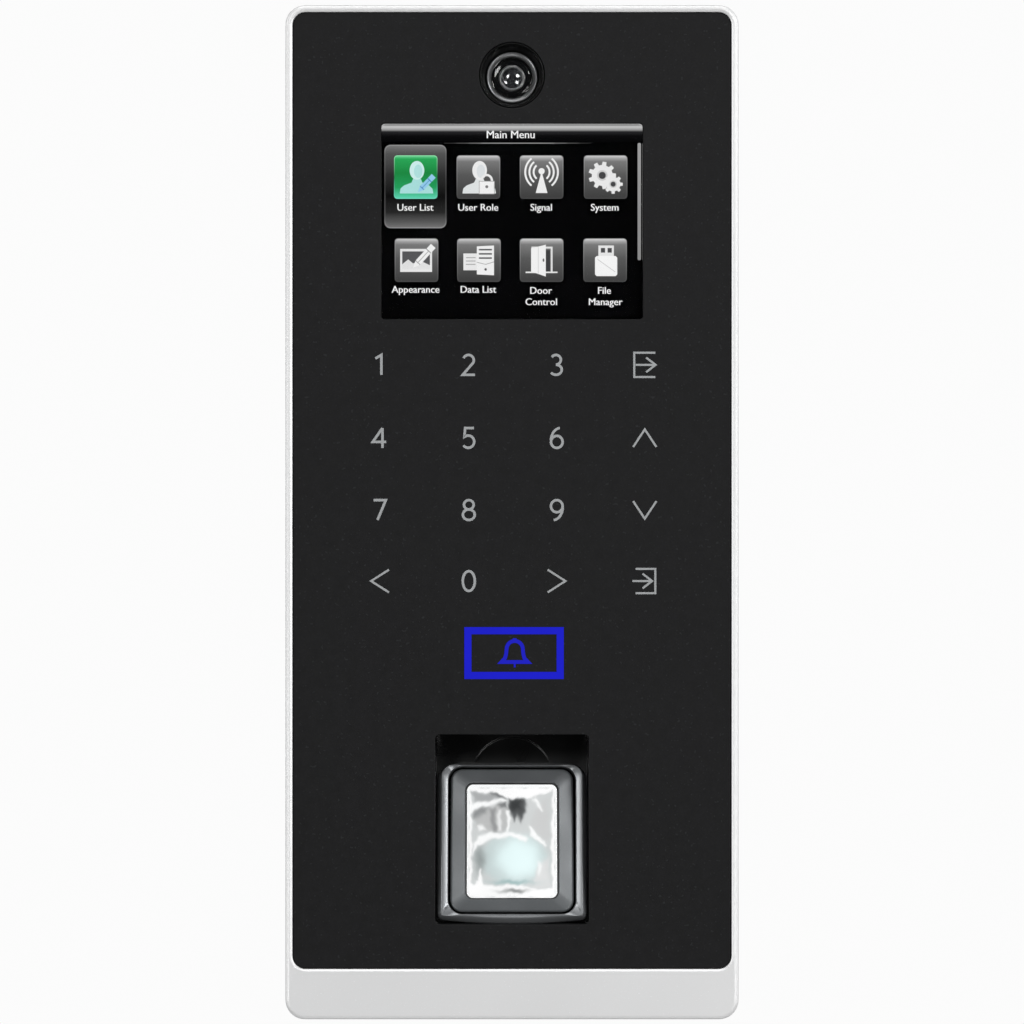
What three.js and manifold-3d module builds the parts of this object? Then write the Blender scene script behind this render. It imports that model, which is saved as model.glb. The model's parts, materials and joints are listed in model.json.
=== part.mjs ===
// Fingerprint access terminal: a slim wall-mounted reader with a camera, a colour display, a touch
// keypad and a tilted fingerprint sensor. It hangs on a steel wall plate, which one screw from below locks.
// Millimetres, +Z up. The wall is the plane y = 0, and the terminal faces -Y. The origin is the middle of the
// wall plate's back face.
import * as THREE from 'three';
import { mergeVertices } from 'three/addons/utils/BufferGeometryUtils.js';
import Module from 'manifold-3d';

const wasm = await Module();
wasm.setup();

// ---------------------------------------------------------------- driving dimensions
const GAP = 0.3; // clearance between separate pieces
const CORNER_ARC = 3; // three.js draws a quarter-round corner with twice this many segments
const ROUND = 28; // sides of a round piece that shows
const SCREW_SIDES = 8;

const CASE = { width: 84, height: 188, front: -40, radius: 3.6, wall: 2, edge: 1.1 };
const HALF_HEIGHT = CASE.height / 2;
const PARTING = -15.3; // where the front housing meets the rear cover
const RIM = 1.45; // silver rim beside and above the black panel
const CHIN = 9.5; // silver band below the black panel
const PANEL = { face: -39.7, thickness: 2, radius: 2.3, slack: 0.15 };
PANEL.back = PANEL.face + PANEL.thickness;
PANEL.width = CASE.width - 2 * RIM;
PANEL.top = HALF_HEIGHT - RIM;
PANEL.bottom = -HALF_HEIGHT + CHIN;
const LEDGE = { front: PANEL.back + 0.5, thickness: 1.5, width: 3.4 };
LEDGE.back = LEDGE.front + LEDGE.thickness;

const REAR = { width: 82.8, height: 186.8, radius: 3.2, back: -0.5, floor: -1.9, wall: 2, edge: 1.6 };
REAR.inner = REAR.floor - REAR.wall;
const REAR_BOTTOM = -REAR.height / 2;

const PLATE = { width: 70, height: 170, radius: 4, thickness: 1.5 };
const LIFT = 6; // how far the terminal slides up to come off the hooks
const HOOK = { x: 22, upper: 52, lower: -70, width: 12, reach: 5.7, rise: 4.5 };
const TONGUE = { width: 18, bottom: -90.5, reach: 13 };
const WIRING = { width: 44, height: 27, z: -22 };
const WALL_SCREW_SLOT = { width: 4, length: 9 };

const SCREEN = { width: 48.5, height: 36.3, z: 53.9 };
const CAMERA = { z: 81, ring: 6 };
const KEY_BOARD = { front: -37.1, thickness: 1, width: 68, top: 30.5, bottom: -33 };
const BELL = { width: 18.7, height: 9.8, z: -26.1 };
const MAIN_BOARD = { back: -15.4, thickness: 1.6, width: 70, top: 74, bottom: -40 };
MAIN_BOARD.front = MAIN_BOARD.back - MAIN_BOARD.thickness;

const RECESS = { width: 28.5, top: -41.2, bottom: -76.4, radius: 0.9 };
RECESS.z = (RECESS.top + RECESS.bottom) / 2;
RECESS.height = RECESS.top - RECESS.bottom;
const SENSOR = { tilt: 14, y: -35.4, z: -60.8, width: 23, height: 27.2, depth: 14, radius: 2.2 };
const WINDOW = { width: 17, height: 21.8, radius: 1.2 }; // the sensor's glass

const SECURITY_SCREW = { y: -8, shank: 1.5, head: 3, headHeight: 2.4 };
const USB = { x: 23, y: -10.3, width: 13.2, depth: 5.8, length: 14 };
const RESET = { x: -22, y: -10, radius: 1.3 };
const TAMPER = { x: 24, z: 30, radius: 2 };
const CASE_SCREWS = [[-34, 88.6], [34, 88.6], [-34, -88], [34, -88]];
const BOARD_SCREWS = [[-31, 70], [31, 70], [-31, -36], [31, -36]];

// ---------------------------------------------------------------- solids from three.js geometry
// A closed three.js geometry as a manifold-3d solid.
function solid(geometry) {
  const bare = new THREE.BufferGeometry().setAttribute('position', geometry.getAttribute('position'));
  if (geometry.index) bare.setIndex(geometry.index);
  const merged = mergeVertices(bare, 1e-4);
  const corners = [];
  for (let i = 0; i < merged.index.count; i += 3) {
    const [a, b, c] = [0, 1, 2].map((k) => merged.index.getX(i + k));
    if (a !== b && b !== c && a !== c) corners.push(a, b, c);
  }
  const build = (triVerts) =>
    new wasm.Manifold(new wasm.Mesh({
      numProp: 3, vertProperties: merged.attributes.position.array, triVerts: new Uint32Array(triVerts),
    }));
  const made = build(corners);
  if (made.volume() >= 0) return made;
  for (let i = 0; i < corners.length; i += 3) [corners[i], corners[i + 1]] = [corners[i + 1], corners[i]];
  return build(corners);
}

// A manifold-3d solid as a flat-shaded three.js geometry.
function geometryOf(made) {
  const { vertProperties, triVerts, numProp, numVert } = made.getMesh();
  const points = new Float32Array(numVert * 3);
  for (let i = 0; i < numVert; i++) points.set(vertProperties.subarray(i * numProp, i * numProp + 3), i * 3);
  const indexed = new THREE.BufferGeometry();
  indexed.setAttribute('position', new THREE.BufferAttribute(points, 3));
  indexed.setIndex(new THREE.BufferAttribute(triVerts, 1));
  const flat = indexed.toNonIndexed();
  flat.computeVertexNormals();
  return flat;
}

const join = (first, ...others) => others.reduce((whole, other) => whole.add(other), first);
const cut = (whole, ...tools) => tools.reduce((left, tool) => left.subtract(tool), whole);

// An outline in X and Z with rounded corners, centred on x and z.
function roundedRect(width, height, radius, x = 0, z = 0) {
  const [left, right, low, high] = [x - width / 2, x + width / 2, z - height / 2, z + height / 2];
  const r = Math.min(radius, width / 2 - 1e-3, height / 2 - 1e-3);
  const shape = new THREE.Shape();
  shape.moveTo(right, low + r);
  shape.lineTo(right, high - r);
  shape.absarc(right - r, high - r, r, 0, Math.PI / 2);
  shape.lineTo(left + r, high);
  shape.absarc(left + r, high - r, r, Math.PI / 2, Math.PI);
  shape.lineTo(left, low + r);
  shape.absarc(left + r, low + r, r, Math.PI, 1.5 * Math.PI);
  shape.lineTo(right - r, low);
  shape.absarc(right - r, low + r, r, 1.5 * Math.PI, 2 * Math.PI);
  shape.closePath();
  return shape;
}

// An outline in X and Z, pushed through from y = back to y = front, which is the lower y.
// A bevel rounds both rims.
function slab(shape, back, front, { bevel = 0, arc = CORNER_ARC, bevelSteps = 2 } = {}) {
  const geometry = new THREE.ExtrudeGeometry(shape, {
    depth: back - front - 2 * bevel, curveSegments: arc, bevelEnabled: bevel > 0,
    bevelThickness: bevel, bevelSize: bevel, bevelOffset: -bevel, bevelSegments: bevelSteps,
  });
  geometry.rotateX(Math.PI / 2);
  geometry.translate(0, back - bevel, 0);
  return solid(geometry);
}

// An outline in X and Y, pushed up from z = low to z = high.
function column(shape, low, high, arc = CORNER_ARC) {
  const geometry = new THREE.ExtrudeGeometry(
    shape, { depth: high - low, curveSegments: arc, bevelEnabled: false },
  );
  geometry.translate(0, 0, low);
  return solid(geometry);
}

// A profile in Y and Z, pushed across from x = left to x = right.
function bar(points, left, right) {
  const shape = new THREE.Shape(points.map(([y, z]) => new THREE.Vector2(y, z)));
  const geometry = new THREE.ExtrudeGeometry(shape, { depth: right - left, bevelEnabled: false });
  geometry.applyMatrix4(new THREE.Matrix4().set(0, 0, 1, left, 1, 0, 0, 0, 0, 1, 0, 0, 0, 0, 0, 1));
  return solid(geometry);
}

function block(left, right, front, back, low, high) {
  const geometry = new THREE.BoxGeometry(right - left, back - front, high - low);
  geometry.translate((left + right) / 2, (front + back) / 2, (low + high) / 2);
  return solid(geometry);
}

// Round rods along Y and along Z.
function rodY(x, z, radius, front, back, sides = 14) {
  const geometry = new THREE.CylinderGeometry(radius, radius, back - front, sides);
  geometry.translate(x, (front + back) / 2, z);
  return solid(geometry);
}
function rodZ(x, y, radius, low, high, sides = 14) {
  const geometry = new THREE.CylinderGeometry(radius, radius, high - low, sides);
  geometry.rotateX(Math.PI / 2);
  geometry.translate(x, y, (low + high) / 2);
  return solid(geometry);
}

// A turned piece: [radius, y] points about the Y axis through x = 0 and height z.
function turned(profile, z = 0, sides = ROUND) {
  const geometry = new THREE.LatheGeometry(profile.map(([r, y]) => new THREE.Vector2(r, y)), sides);
  geometry.translate(0, 0, z);
  return solid(geometry);
}

// ---------------------------------------------------------------- finishes
const finish = (color, roughness, metalness = 0, more = {}) =>
  new THREE.MeshStandardMaterial({ color, roughness, metalness, flatShading: true, ...more });
const FINISH = {
  silver: finish(0xdcdcdc, 0.38, 0.15),
  panel: finish(0x262627, 0.55),
  black: finish(0x151516, 0.6),
  gloss: finish(0x0a0a0b, 0.15),
  grey: finish(0x6a6d6e, 0.4),
  bezel: finish(0x3c3e40, 0.22),
  glass: finish(0xe6efef, 0.05, 0, { transparent: true, opacity: 0.5 }),
  display: finish(0x050507, 0.1, 0, { emissive: 0x0b0d12 }),
  blue: finish(0x2226d0, 0.4, 0, { emissive: 0x2020c0 }),
  steel: finish(0xb4b7ba, 0.35, 0.9),
  brass: finish(0xb98f45, 0.35, 0.9),
  copper: finish(0xa8602f, 0.4, 0.8),
  board: finish(0x17492c, 0.5),
  connector: finish(0xe9e5d8, 0.5),
  rubber: finish(0x1c1c1d, 0.85),
  flex: finish(0xa8641f, 0.45),
};

const reader = new THREE.Group();
function add(name, made, material, group = reader) {
  const mesh = new THREE.Mesh(geometryOf(made), material);
  mesh.name = name;
  group.add(mesh);
  return mesh;
}

// ---------------------------------------------------------------- wall plate
// A hook is an arm that leaves the plate and a lip that stands up behind the rear cover's wall.
function hook(x, z) {
  const { width, reach, rise } = HOOK;
  const t = PLATE.thickness;
  const profile = [
    [-t / 2, z],
    [-reach, z],
    [-reach, z + t + rise],
    [t - reach, z + t + rise],
    [t - reach, z + t],
    [-t / 2, z + t],
  ];
  return bar(profile, x - width / 2 + 0.5, x + width / 2 - 0.5);
}

// The window that a hook was bent out of.
function hookWindow(x, z) {
  const low = z + PLATE.thickness;
  const height = HOOK.reach + HOOK.rise;
  return slab(
    roundedRect(HOOK.width, height, 0.6, x, low + height / 2), 1, -PLATE.thickness - 1, { arc: 1 },
  );
}

function screwSlot(x, z, upright) {
  const { width, length } = WALL_SCREW_SLOT;
  const shape = upright ? roundedRect(width, length, width / 2, x, z) : roundedRect(
    length, width, width / 2, x, z,
  );
  return slab(shape, 1, -PLATE.thickness - 1, { arc: 1 });
}

function wallPlate() {
  const hooks = [-1, 1].flatMap((side) => [HOOK.upper, HOOK.lower].map((z) => [side * HOOK.x, z]));
  const boxHeight = 83.5; // hole spacing of an upright single gang box
  const boxWidth = 60; // hole spacing of a round wall box
  const upright = [
    [-28, 76], [28, 76], [-28, -78], [28, -78], [-boxWidth / 2, WIRING.z], [boxWidth / 2, WIRING.z],
  ];
  const level = [[0, WIRING.z + boxHeight / 2], [0, WIRING.z - boxHeight / 2]];
  const t = PLATE.thickness;
  const sheet = join(
    slab(roundedRect(PLATE.width, PLATE.height, PLATE.radius), 0, -t),
    block(-TONGUE.width / 2, TONGUE.width / 2, -t, 0, TONGUE.bottom, 4 - PLATE.height / 2),
    block(-TONGUE.width / 2, TONGUE.width / 2, -TONGUE.reach, -t / 2, TONGUE.bottom, TONGUE.bottom + t),
    ...hooks.map(([x, z]) => hook(x, z)),
  );
  const slotLength = 2 * TAMPER.radius + 2 + LIFT;
  return cut(
    sheet,
    ...hooks.map(([x, z]) => hookWindow(x, z)),
    ...upright.map(([x, z]) => screwSlot(x, z, true)),
    ...level.map(([x, z]) => screwSlot(x, z, false)),
    slab(roundedRect(WIRING.width, WIRING.height, 2, 0, WIRING.z), 1, -t - 1, { arc: 2 }),
    slab(
      roundedRect(2 * TAMPER.radius + 2, slotLength, 3, TAMPER.x, TAMPER.z + LIFT / 2),
      1,
      -t - 1,
      { arc: 1 },
    ),
    rodZ(0, SECURITY_SCREW.y, SECURITY_SCREW.shank + GAP, TONGUE.bottom - 1, TONGUE.bottom + t + 1, 16),
  );
}
add('wall_plate', wallPlate(), FINISH.steel);

// ---------------------------------------------------------------- screws
// A screw with its head's seat at 0, its shank along +Y and a cross recess in the head. Origin at the seat.
function screw({ shank, length, head, headHeight, recess = 0.55 }) {
  const body = turned(
    [
      [0, -headHeight],
      [head * 0.82, -headHeight],
      [head, -headHeight * 0.55],
      [head, 0],
      [shank, 0],
      [shank, length - shank * 0.8],
      [shank * 0.4, length],
      [0, length],
    ],
    0,
    SCREW_SIDES,
  );
  const arm = head * recess;
  const slot = head * 0.12;
  const deep = -headHeight * 0.45;
  return cut(
    body,
    block(-arm, arm, -headHeight - 1, deep, -slot, slot),
    block(-slot, slot, -headHeight - 1, deep, -arm, arm),
  );
}

function addScrew(name, made, position, rotation, group = reader) {
  const mesh = add(name, made, FINISH.steel, group);
  mesh.position.set(...position);
  mesh.rotation.set(...rotation);
}

const POINTS_FORWARD = [Math.PI, 0, 0]; // driven from behind, the tip toward -Y
const POINTS_UP = [Math.PI / 2, 0, 0];
const POINTS_BACK = [0, 0, 0];

const securityScrew = screw({ ...SECURITY_SCREW, length: 10 });
addScrew('security_screw', securityScrew, [0, SECURITY_SCREW.y, TONGUE.bottom - 0.05], POINTS_UP);

// ---------------------------------------------------------------- rear cover
const LIP = { inset: 1.8, rise: 3 }; // the rim of the cover that locates inside the housing
const BOTTOM_INSIDE = REAR_BOTTOM + 3;
const CASE_POST = { outer: 3.7, seat: -6.2, bore: 1.5, headBore: 2.9 };
const POCKET_TOP = PLATE.height / 2 + 0.8;
const POCKET_BOTTOM = -PLATE.height / 2 - LIFT - 0.8;
const WIRING_WELL = { width: 48, height: 30, wall: 1.2, front: -14.8 };
const NOTCH = { width: TONGUE.width + 2, front: -14, top: -88.6, wall: 1.6 };
const IO_POSTS = { x: 12.8, z: -67.5, outer: 2.3, pin: 1 };
const IO_BOARD = { front: -14.6, back: -13.4, left: -29, right: 29.8, top: -64, bottom: -87 };
const USB_FLAP = { width: 18, depth: 8.4, thickness: 1.3, hingeY: -5.4 };
const USB_MOUTH = { width: 12.8, depth: 5.2 };

function rearCover() {
  const outline = (inset) => roundedRect(
    REAR.width - 2 * inset, REAR.height - 2 * inset, REAR.radius - inset / 2,
  );
  const outer = slab(outline(0), REAR.back, PARTING - 6, { bevel: REAR.edge });
  const lip = slab(outline(LIP.inset), REAR.inner, PARTING - LIP.rise);
  const skin = cut(outer, block(-60, 60, PARTING - 20, PARTING + GAP, -120, 120));
  const floorToLip = slab(outline(3), REAR.inner, PARTING - 7);
  const pocket = slab(
    roundedRect(
      PLATE.width + 1.6, POCKET_TOP - POCKET_BOTTOM, PLATE.radius, 0, (POCKET_TOP + POCKET_BOTTOM) / 2,
    ),
    2,
    REAR.floor,
  );
  const posts = join(
    ...CASE_SCREWS.map(([x, z]) => rodY(x, z, CASE_POST.outer, PARTING - LIP.rise, REAR.inner + 0.5)
      .intersect(slab(outline(LIP.inset), REAR.inner + 1, PARTING - 7))),
    ...BOARD_SCREWS.map(([x, z]) => rodY(x, z, 2.7, MAIN_BOARD.back + 0.1, REAR.inner + 0.5, 16)),
  );
  const well = slab(
    roundedRect(
      WIRING_WELL.width + 2 * WIRING_WELL.wall, WIRING_WELL.height + 2 * WIRING_WELL.wall, 2, 0, WIRING.z,
    ),
    REAR.inner + 0.5,
    WIRING_WELL.front,
    { arc: 3 },
  );
  const notchBox = block(
    -NOTCH.width / 2 - NOTCH.wall,
    NOTCH.width / 2 + NOTCH.wall,
    PARTING + GAP,
    REAR.floor - 0.5,
    REAR_BOTTOM + 0.5,
    NOTCH.top + NOTCH.wall,
  );
  const screwBoss = block(-5, 5, SECURITY_SCREW.y - 4.5, REAR.inner + 0.5, NOTCH.top, -79.5);
  const ioPosts = [-1, 1].flatMap((side) => [
    rodY(side * IO_POSTS.x, IO_POSTS.z, IO_POSTS.outer, IO_BOARD.back + 0.1, REAR.inner + 0.5, 16),
    rodY(side * IO_POSTS.x, IO_POSTS.z, IO_POSTS.pin, IO_BOARD.front - 0.8, REAR.inner + 0.5, 10),
  ]);
  const whole = join(cut(join(skin, lip), floorToLip), posts, well, notchBox, screwBoss, ...ioPosts);
  const hookSlots = [-1, 1].flatMap((side) => [HOOK.upper, HOOK.lower].map((z) => {
    const low = z - LIFT - 0.5;
    const high = z + PLATE.thickness + 0.4;
    return slab(
      roundedRect(HOOK.width + 1.2, high - low, 0.8, side * HOOK.x, (low + high) / 2),
      0,
      REAR.inner - 1,
      { arc: 1 },
    );
  }));
  const flapSeat = roundedRect(
    USB_FLAP.width + 0.5, USB_FLAP.depth + 0.5, 1.6, USB.x, USB_FLAP.hingeY - USB_FLAP.depth / 2,
  );
  const nailNotch = USB_FLAP.hingeY - USB_FLAP.depth - 0.2;
  return cut(
    whole, pocket, ...hookSlots,
    slab(
      roundedRect(WIRING_WELL.width, WIRING_WELL.height, 1.2, 0, WIRING.z),
      0,
      WIRING_WELL.front - 1,
      { arc: 3 },
    ),
    ...CASE_SCREWS.map(([x, z]) => rodY(x, z, CASE_POST.bore, PARTING - 7, 1, 12)),
    ...CASE_SCREWS.map(([x, z]) => rodY(x, z, CASE_POST.headBore, CASE_POST.seat, 1)),
    ...BOARD_SCREWS.map(([x, z]) => rodY(x, z, 1.25, MAIN_BOARD.back - 1, MAIN_BOARD.back + 7, 12)),
    block(-NOTCH.width / 2, NOTCH.width / 2, NOTCH.front, 1, REAR_BOTTOM - 1, NOTCH.top),
    rodZ(0, SECURITY_SCREW.y, 2.9, NOTCH.top - 1, NOTCH.top + 7, 16),
    rodZ(0, SECURITY_SCREW.y, SECURITY_SCREW.shank + GAP, NOTCH.top, -78, 16),
    column(flapSeat, REAR_BOTTOM - 1, REAR_BOTTOM + USB_FLAP.thickness + 0.1),
    block(USB.x - 3, USB.x + 3, nailNotch - 0.7, nailNotch, REAR_BOTTOM - 1, REAR_BOTTOM + 0.6),
    column(
      roundedRect(USB_MOUTH.width, USB_MOUTH.depth, 0.8, USB.x, USB.y),
      REAR_BOTTOM - 1,
      BOTTOM_INSIDE + 1,
      2,
    ),
    rodZ(RESET.x, RESET.y, RESET.radius + GAP, REAR_BOTTOM - 1, BOTTOM_INSIDE + 1, 16),
    rodY(TAMPER.x, TAMPER.z, TAMPER.radius + GAP, REAR.inner - 1, 0),
  );
}
add('rear_cover', rearCover(), FINISH.black);

const INSERT = { outer: 2.7, bore: 1.65, length: 5.5 };
add('screw_insert', cut(
  rodZ(0, SECURITY_SCREW.y, INSERT.outer, NOTCH.top + GAP, NOTCH.top + GAP + INSERT.length, 16),
  rodZ(0, SECURITY_SCREW.y, INSERT.bore, NOTCH.top - 1, NOTCH.top + 8, 16),
), FINISH.brass);

// ---------------------------------------------------------------- front housing, seal and front panel
const BOSS = { outer: 3.1, pilot: 1.45 };
const SPEAKER = { x: -17, y: -27, length: 26, width: 13, wallTop: -HALF_HEIGHT + CASE.wall };
const panelOutline = (inset) => roundedRect(
  PANEL.width - 2 * inset,
  PANEL.top - PANEL.bottom - 2 * inset,
  Math.max(PANEL.radius - inset, 0.4),
  0,
  (PANEL.top + PANEL.bottom) / 2,
);

function frontHousing() {
  const outer = slab(
    roundedRect(CASE.width, CASE.height, CASE.radius), -8, CASE.front, { bevel: CASE.edge },
  );
  const inner = slab(
    roundedRect(CASE.width - 2 * CASE.wall, CASE.height - 2 * CASE.wall, CASE.radius - 1), -5, LEDGE.back,
  );
  const grille = Array.from(
    { length: 8 },
    (_, i) => column(
      roundedRect(1.3, 9, 0.6, SPEAKER.x + (i - 3.5) * 2.9, SPEAKER.y),
      -HALF_HEIGHT - 1,
      SPEAKER.wallTop + 0.5,
      1,
    ),
  );
  const shell = cut(
    outer, inner, block(-60, 60, PARTING - 0.25, 0, -120, 120),
    slab(panelOutline(-PANEL.slack), LEDGE.front, CASE.front - 1),
    slab(panelOutline(LEDGE.width), LEDGE.back + 1, CASE.front - 1),
    ...grille,
  );
  const bosses = CASE_SCREWS.map(
    ([x, z]) => rodY(x, z, BOSS.outer, LEDGE.back - 0.5, PARTING - LIP.rise - GAP, 16),
  );
  const pilots = CASE_SCREWS.map(([x, z]) => rodY(x, z, BOSS.pilot, -32, -10, 12));
  return cut(join(shell, ...bosses), ...pilots);
}
add('front_housing', frontHousing(), FINISH.silver);

const sealOutline = (inset) => roundedRect(
  REAR.width - 2 * inset, REAR.height - 2 * inset, REAR.radius - inset / 2,
);
add(
  'case_seal',
  cut(slab(sealOutline(0.35), PARTING + 0.22, PARTING - 0.2), slab(sealOutline(1.6), 0, PARTING - 2)),
  FINISH.rubber,
);

const screenOutline = (inset) => roundedRect(
  SCREEN.width - 2 * inset, SCREEN.height - 2 * inset, 0.7, 0, SCREEN.z,
);
const recessOutline = (inset) => roundedRect(
  RECESS.width - 2 * inset, RECESS.height - 2 * inset, Math.max(RECESS.radius - inset, 0.2), 0, RECESS.z);
add('front_panel', cut(
  slab(panelOutline(0), PANEL.back, PANEL.face),
  slab(screenOutline(0), 0, -60, { arc: 3 }),
  slab(recessOutline(0), 0, -60, { arc: 3 }),
  rodY(0, CAMERA.z, CAMERA.ring + 0.15, -60, 0, ROUND),
), FINISH.panel);

CASE_SCREWS.forEach(
  ([x, z], i) => addScrew(
    `case_screw_${i + 1}`,
    screw({ shank: 1.25, length: 17, head: 2.5, headHeight: 1.8 }),
    [x, CASE_POST.seat + 0.05, z],
    POINTS_FORWARD,
  ),
);

// ---------------------------------------------------------------- display
const LCD = { width: 56, height: 39.6, front: -37.2, glass: 1.6 };
const TRAY = { width: 60.3, height: 42.8, depth: 3.6 };
add('lcd_window', slab(screenOutline(0.12), PANEL.back, PANEL.face, { arc: 3 }), FINISH.glass);
add(
  'lcd_panel',
  slab(roundedRect(LCD.width, LCD.height, 0.3, 0, SCREEN.z), LCD.front + LCD.glass, LCD.front, { arc: 1 }),
  FINISH.display,
);
add('lcd_backlight_tray', cut(
  slab(
    roundedRect(TRAY.width, TRAY.height, 0.8, 0, SCREEN.z), LCD.front + TRAY.depth, LCD.front, { arc: 1 },
  ),
  slab(
    roundedRect(LCD.width + 0.5, LCD.height + 0.5, 0.3, 0, SCREEN.z),
    LCD.front + LCD.glass + 0.2,
    -60,
    { arc: 1 },
  ),
), FINISH.steel);

// ---------------------------------------------------------------- camera
const BARREL = { outer: 4.72, front: -36.2, back: -30.4 };
const RING_FLAT = 75.7; // the ring's flange stops short of the display's tray
// A funnel: its mouth is flush with the panel, and the barrel's lip closes its narrow end.
const cameraFunnel = turned(
  [
    [4.9, BARREL.front - 0.1],
    [5.75, PANEL.face + 0.1],
    [CAMERA.ring, PANEL.face + 0.1],
    [CAMERA.ring, PANEL.back + 0.15],
    [7.6, PANEL.back + 0.15],
    [7.6, PANEL.back + 1.1],
    [5.3, PANEL.back + 1.1],
    [5.3, BARREL.front + 0.6],
    [4.9, BARREL.front + 0.6],
    [4.9, BARREL.front - 0.1],
  ],
  CAMERA.z,
);
add(
  'camera_ring',
  cameraFunnel.subtract(block(-20, 20, PANEL.back + 0.05, 0, 0, RING_FLAT)),
  FINISH.gloss,
);
add(
  'camera_barrel',
  turned(
    [
      [3.9, BARREL.front + 0.5],
      [4.1, BARREL.front + 0.1],
      [4.4, BARREL.front],
      [BARREL.outer - 0.1, BARREL.front + 0.1],
      [BARREL.outer, BARREL.front + 0.4],
      [BARREL.outer, BARREL.back],
      [2.6, BARREL.back],
      [2.6, BARREL.front + 1.6],
      [3.9, BARREL.front + 1.6],
      [3.9, BARREL.front + 0.5],
    ],
    CAMERA.z,
  ),
  FINISH.bezel,
);
add('camera_window', turned([[0, BARREL.front + 0.4], [3.75, BARREL.front + 0.4], [3.75, BARREL.front + 1],
  [0, BARREL.front + 1]], CAMERA.z), FINISH.glass);
add(
  'camera_lens',
  turned(
    [[0, -34.85], [0.9, -34.75], [1.6, -34.5], [2.2, -34.05], [2.3, -33.8], [2.3, -31], [0, -31]],
    CAMERA.z,
    20,
  ),
  FINISH.glass,
);
add(
  'camera_board',
  slab(roundedRect(19, 17, 1, 0, CAMERA.z + 0.5), BARREL.back + 1.3, BARREL.back + 0.2, { arc: 1 }),
  FINISH.board,
);

// ---------------------------------------------------------------- touch keypad, bell light, antenna
const keyBoardOutline = roundedRect(
  KEY_BOARD.width, KEY_BOARD.top - KEY_BOARD.bottom, 1.5, 0, (KEY_BOARD.top + KEY_BOARD.bottom) / 2,
);
const keyBoardBack = KEY_BOARD.front + KEY_BOARD.thickness;
add(
  'keypad_board',
  cut(
    slab(keyBoardOutline, keyBoardBack, KEY_BOARD.front, { arc: 1 }),
    slab(roundedRect(BELL.width + 0.8, BELL.height + 0.8, 0.6, 0, BELL.z), 0, -60, { arc: 1 }),
  ),
  FINISH.board,
);
add(
  'bell_light_guide',
  slab(roundedRect(BELL.width, BELL.height, 0.5, 0, BELL.z), -34.9, -37.3, { arc: 1 }),
  FINISH.blue,
);
[-1, 1].forEach((side) => {
  const [near, far] = [
    BELL.width / 2 + 0.6, BELL.width / 2 + 2.4,
  ].map((x) => x * side).sort((a, b) => a - b);
  add(
    side < 0 ? 'bell_led_left' : 'bell_led_right',
    block(near, far, keyBoardBack + 0.1, keyBoardBack + 1.1, BELL.z - 1.4, BELL.z + 1.4),
    FINISH.connector,
  );
});
const coilOutline = (inset) => roundedRect(64 - 2 * inset, 50 - 2 * inset, 6 - inset / 2, 0, 4);
add(
  'card_antenna_coil',
  cut(slab(coilOutline(0), -34.5, -35.8, { arc: 3 }), slab(coilOutline(2.6), 0, -60, { arc: 3 })),
  FINISH.copper,
);

// ---------------------------------------------------------------- fingerprint sensor
// The sensor is built square to the axes about the middle of its face, then tilted so that its top
// lies deeper.
const SENSOR_TURN = -THREE.MathUtils.degToRad(SENSOR.tilt);
const sensorFrame = new THREE.Group();
sensorFrame.position.set(0, SENSOR.y, SENSOR.z);
sensorFrame.rotation.x = SENSOR_TURN;
reader.add(sensorFrame);
// The same tilt for a tool that cuts a piece outside the group.
const tilted = (made) => made.rotate([-SENSOR.tilt, 0, 0]).translate([0, SENSOR.y, SENSOR.z]);

const FLOOR = { front: 2.9, back: 5 }; // the recess floor, in the sensor's own frame
const SCOOP_RADIUS = 7.6;
const SENSOR_EAR = { x: 13.9, height: 8, front: 5.3, back: 6.8 };

function sensorSurround() {
  const wall = 1.7;
  const tub = slab(recessOutline(-wall), -18, PANEL.back + 0.1, { arc: 3 });
  const behindFloor = tilted(block(-40, 40, FLOOR.back, 60, -60, 60));
  const cavity = cut(
    slab(recessOutline(0), 0, -60, { arc: 3 }), tilted(block(-40, 40, FLOOR.front, 60, -60, 60)),
  );
  const scoop = tilted(rodY(0, 12.2, SCOOP_RADIUS, FLOOR.front - 8, FLOOR.back - 0.8, 36));
  const moduleHole = tilted(
    slab(roundedRect(SENSOR.width + 0.6, SENSOR.height + 0.6, SENSOR.radius, 0, 0), 20, -20),
  );
  const pilots = [-1, 1].map(
    (side) => tilted(rodY(side * SENSOR_EAR.x, 0, 0.95, FLOOR.front + 0.5, 12, 10)),
  );
  const scoopInside = scoop.intersect(slab(recessOutline(0.4), 0, -60, { arc: 3 }));
  return cut(tub, behindFloor, cavity, scoopInside, moduleHole, ...pilots);
}
add('sensor_surround', sensorSurround(), FINISH.gloss);

// The bezel's outline: rounded top corners, straight sides and a bottom edge that bows down.
function bezelOutline() {
  const [half, top, side, bow, r] = [13.9, 15, -14.9, -15.7, 2.8];
  const shape = new THREE.Shape();
  shape.moveTo(half, side);
  shape.lineTo(half, top - r);
  shape.absarc(half - r, top - r, r, 0, Math.PI / 2);
  shape.lineTo(r - half, top);
  shape.absarc(r - half, top - r, r, Math.PI / 2, Math.PI);
  shape.lineTo(-half, side);
  shape.quadraticCurveTo(0, 2 * bow - side, half, side);
  return shape;
}

const moduleOutline = (grow) => roundedRect(
  SENSOR.width + 2 * grow, SENSOR.height + 2 * grow, SENSOR.radius + grow,
);
const windowOutline = (grow) => roundedRect(
  WINDOW.width + 2 * grow, WINDOW.height + 2 * grow, WINDOW.radius + grow,
);

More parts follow.
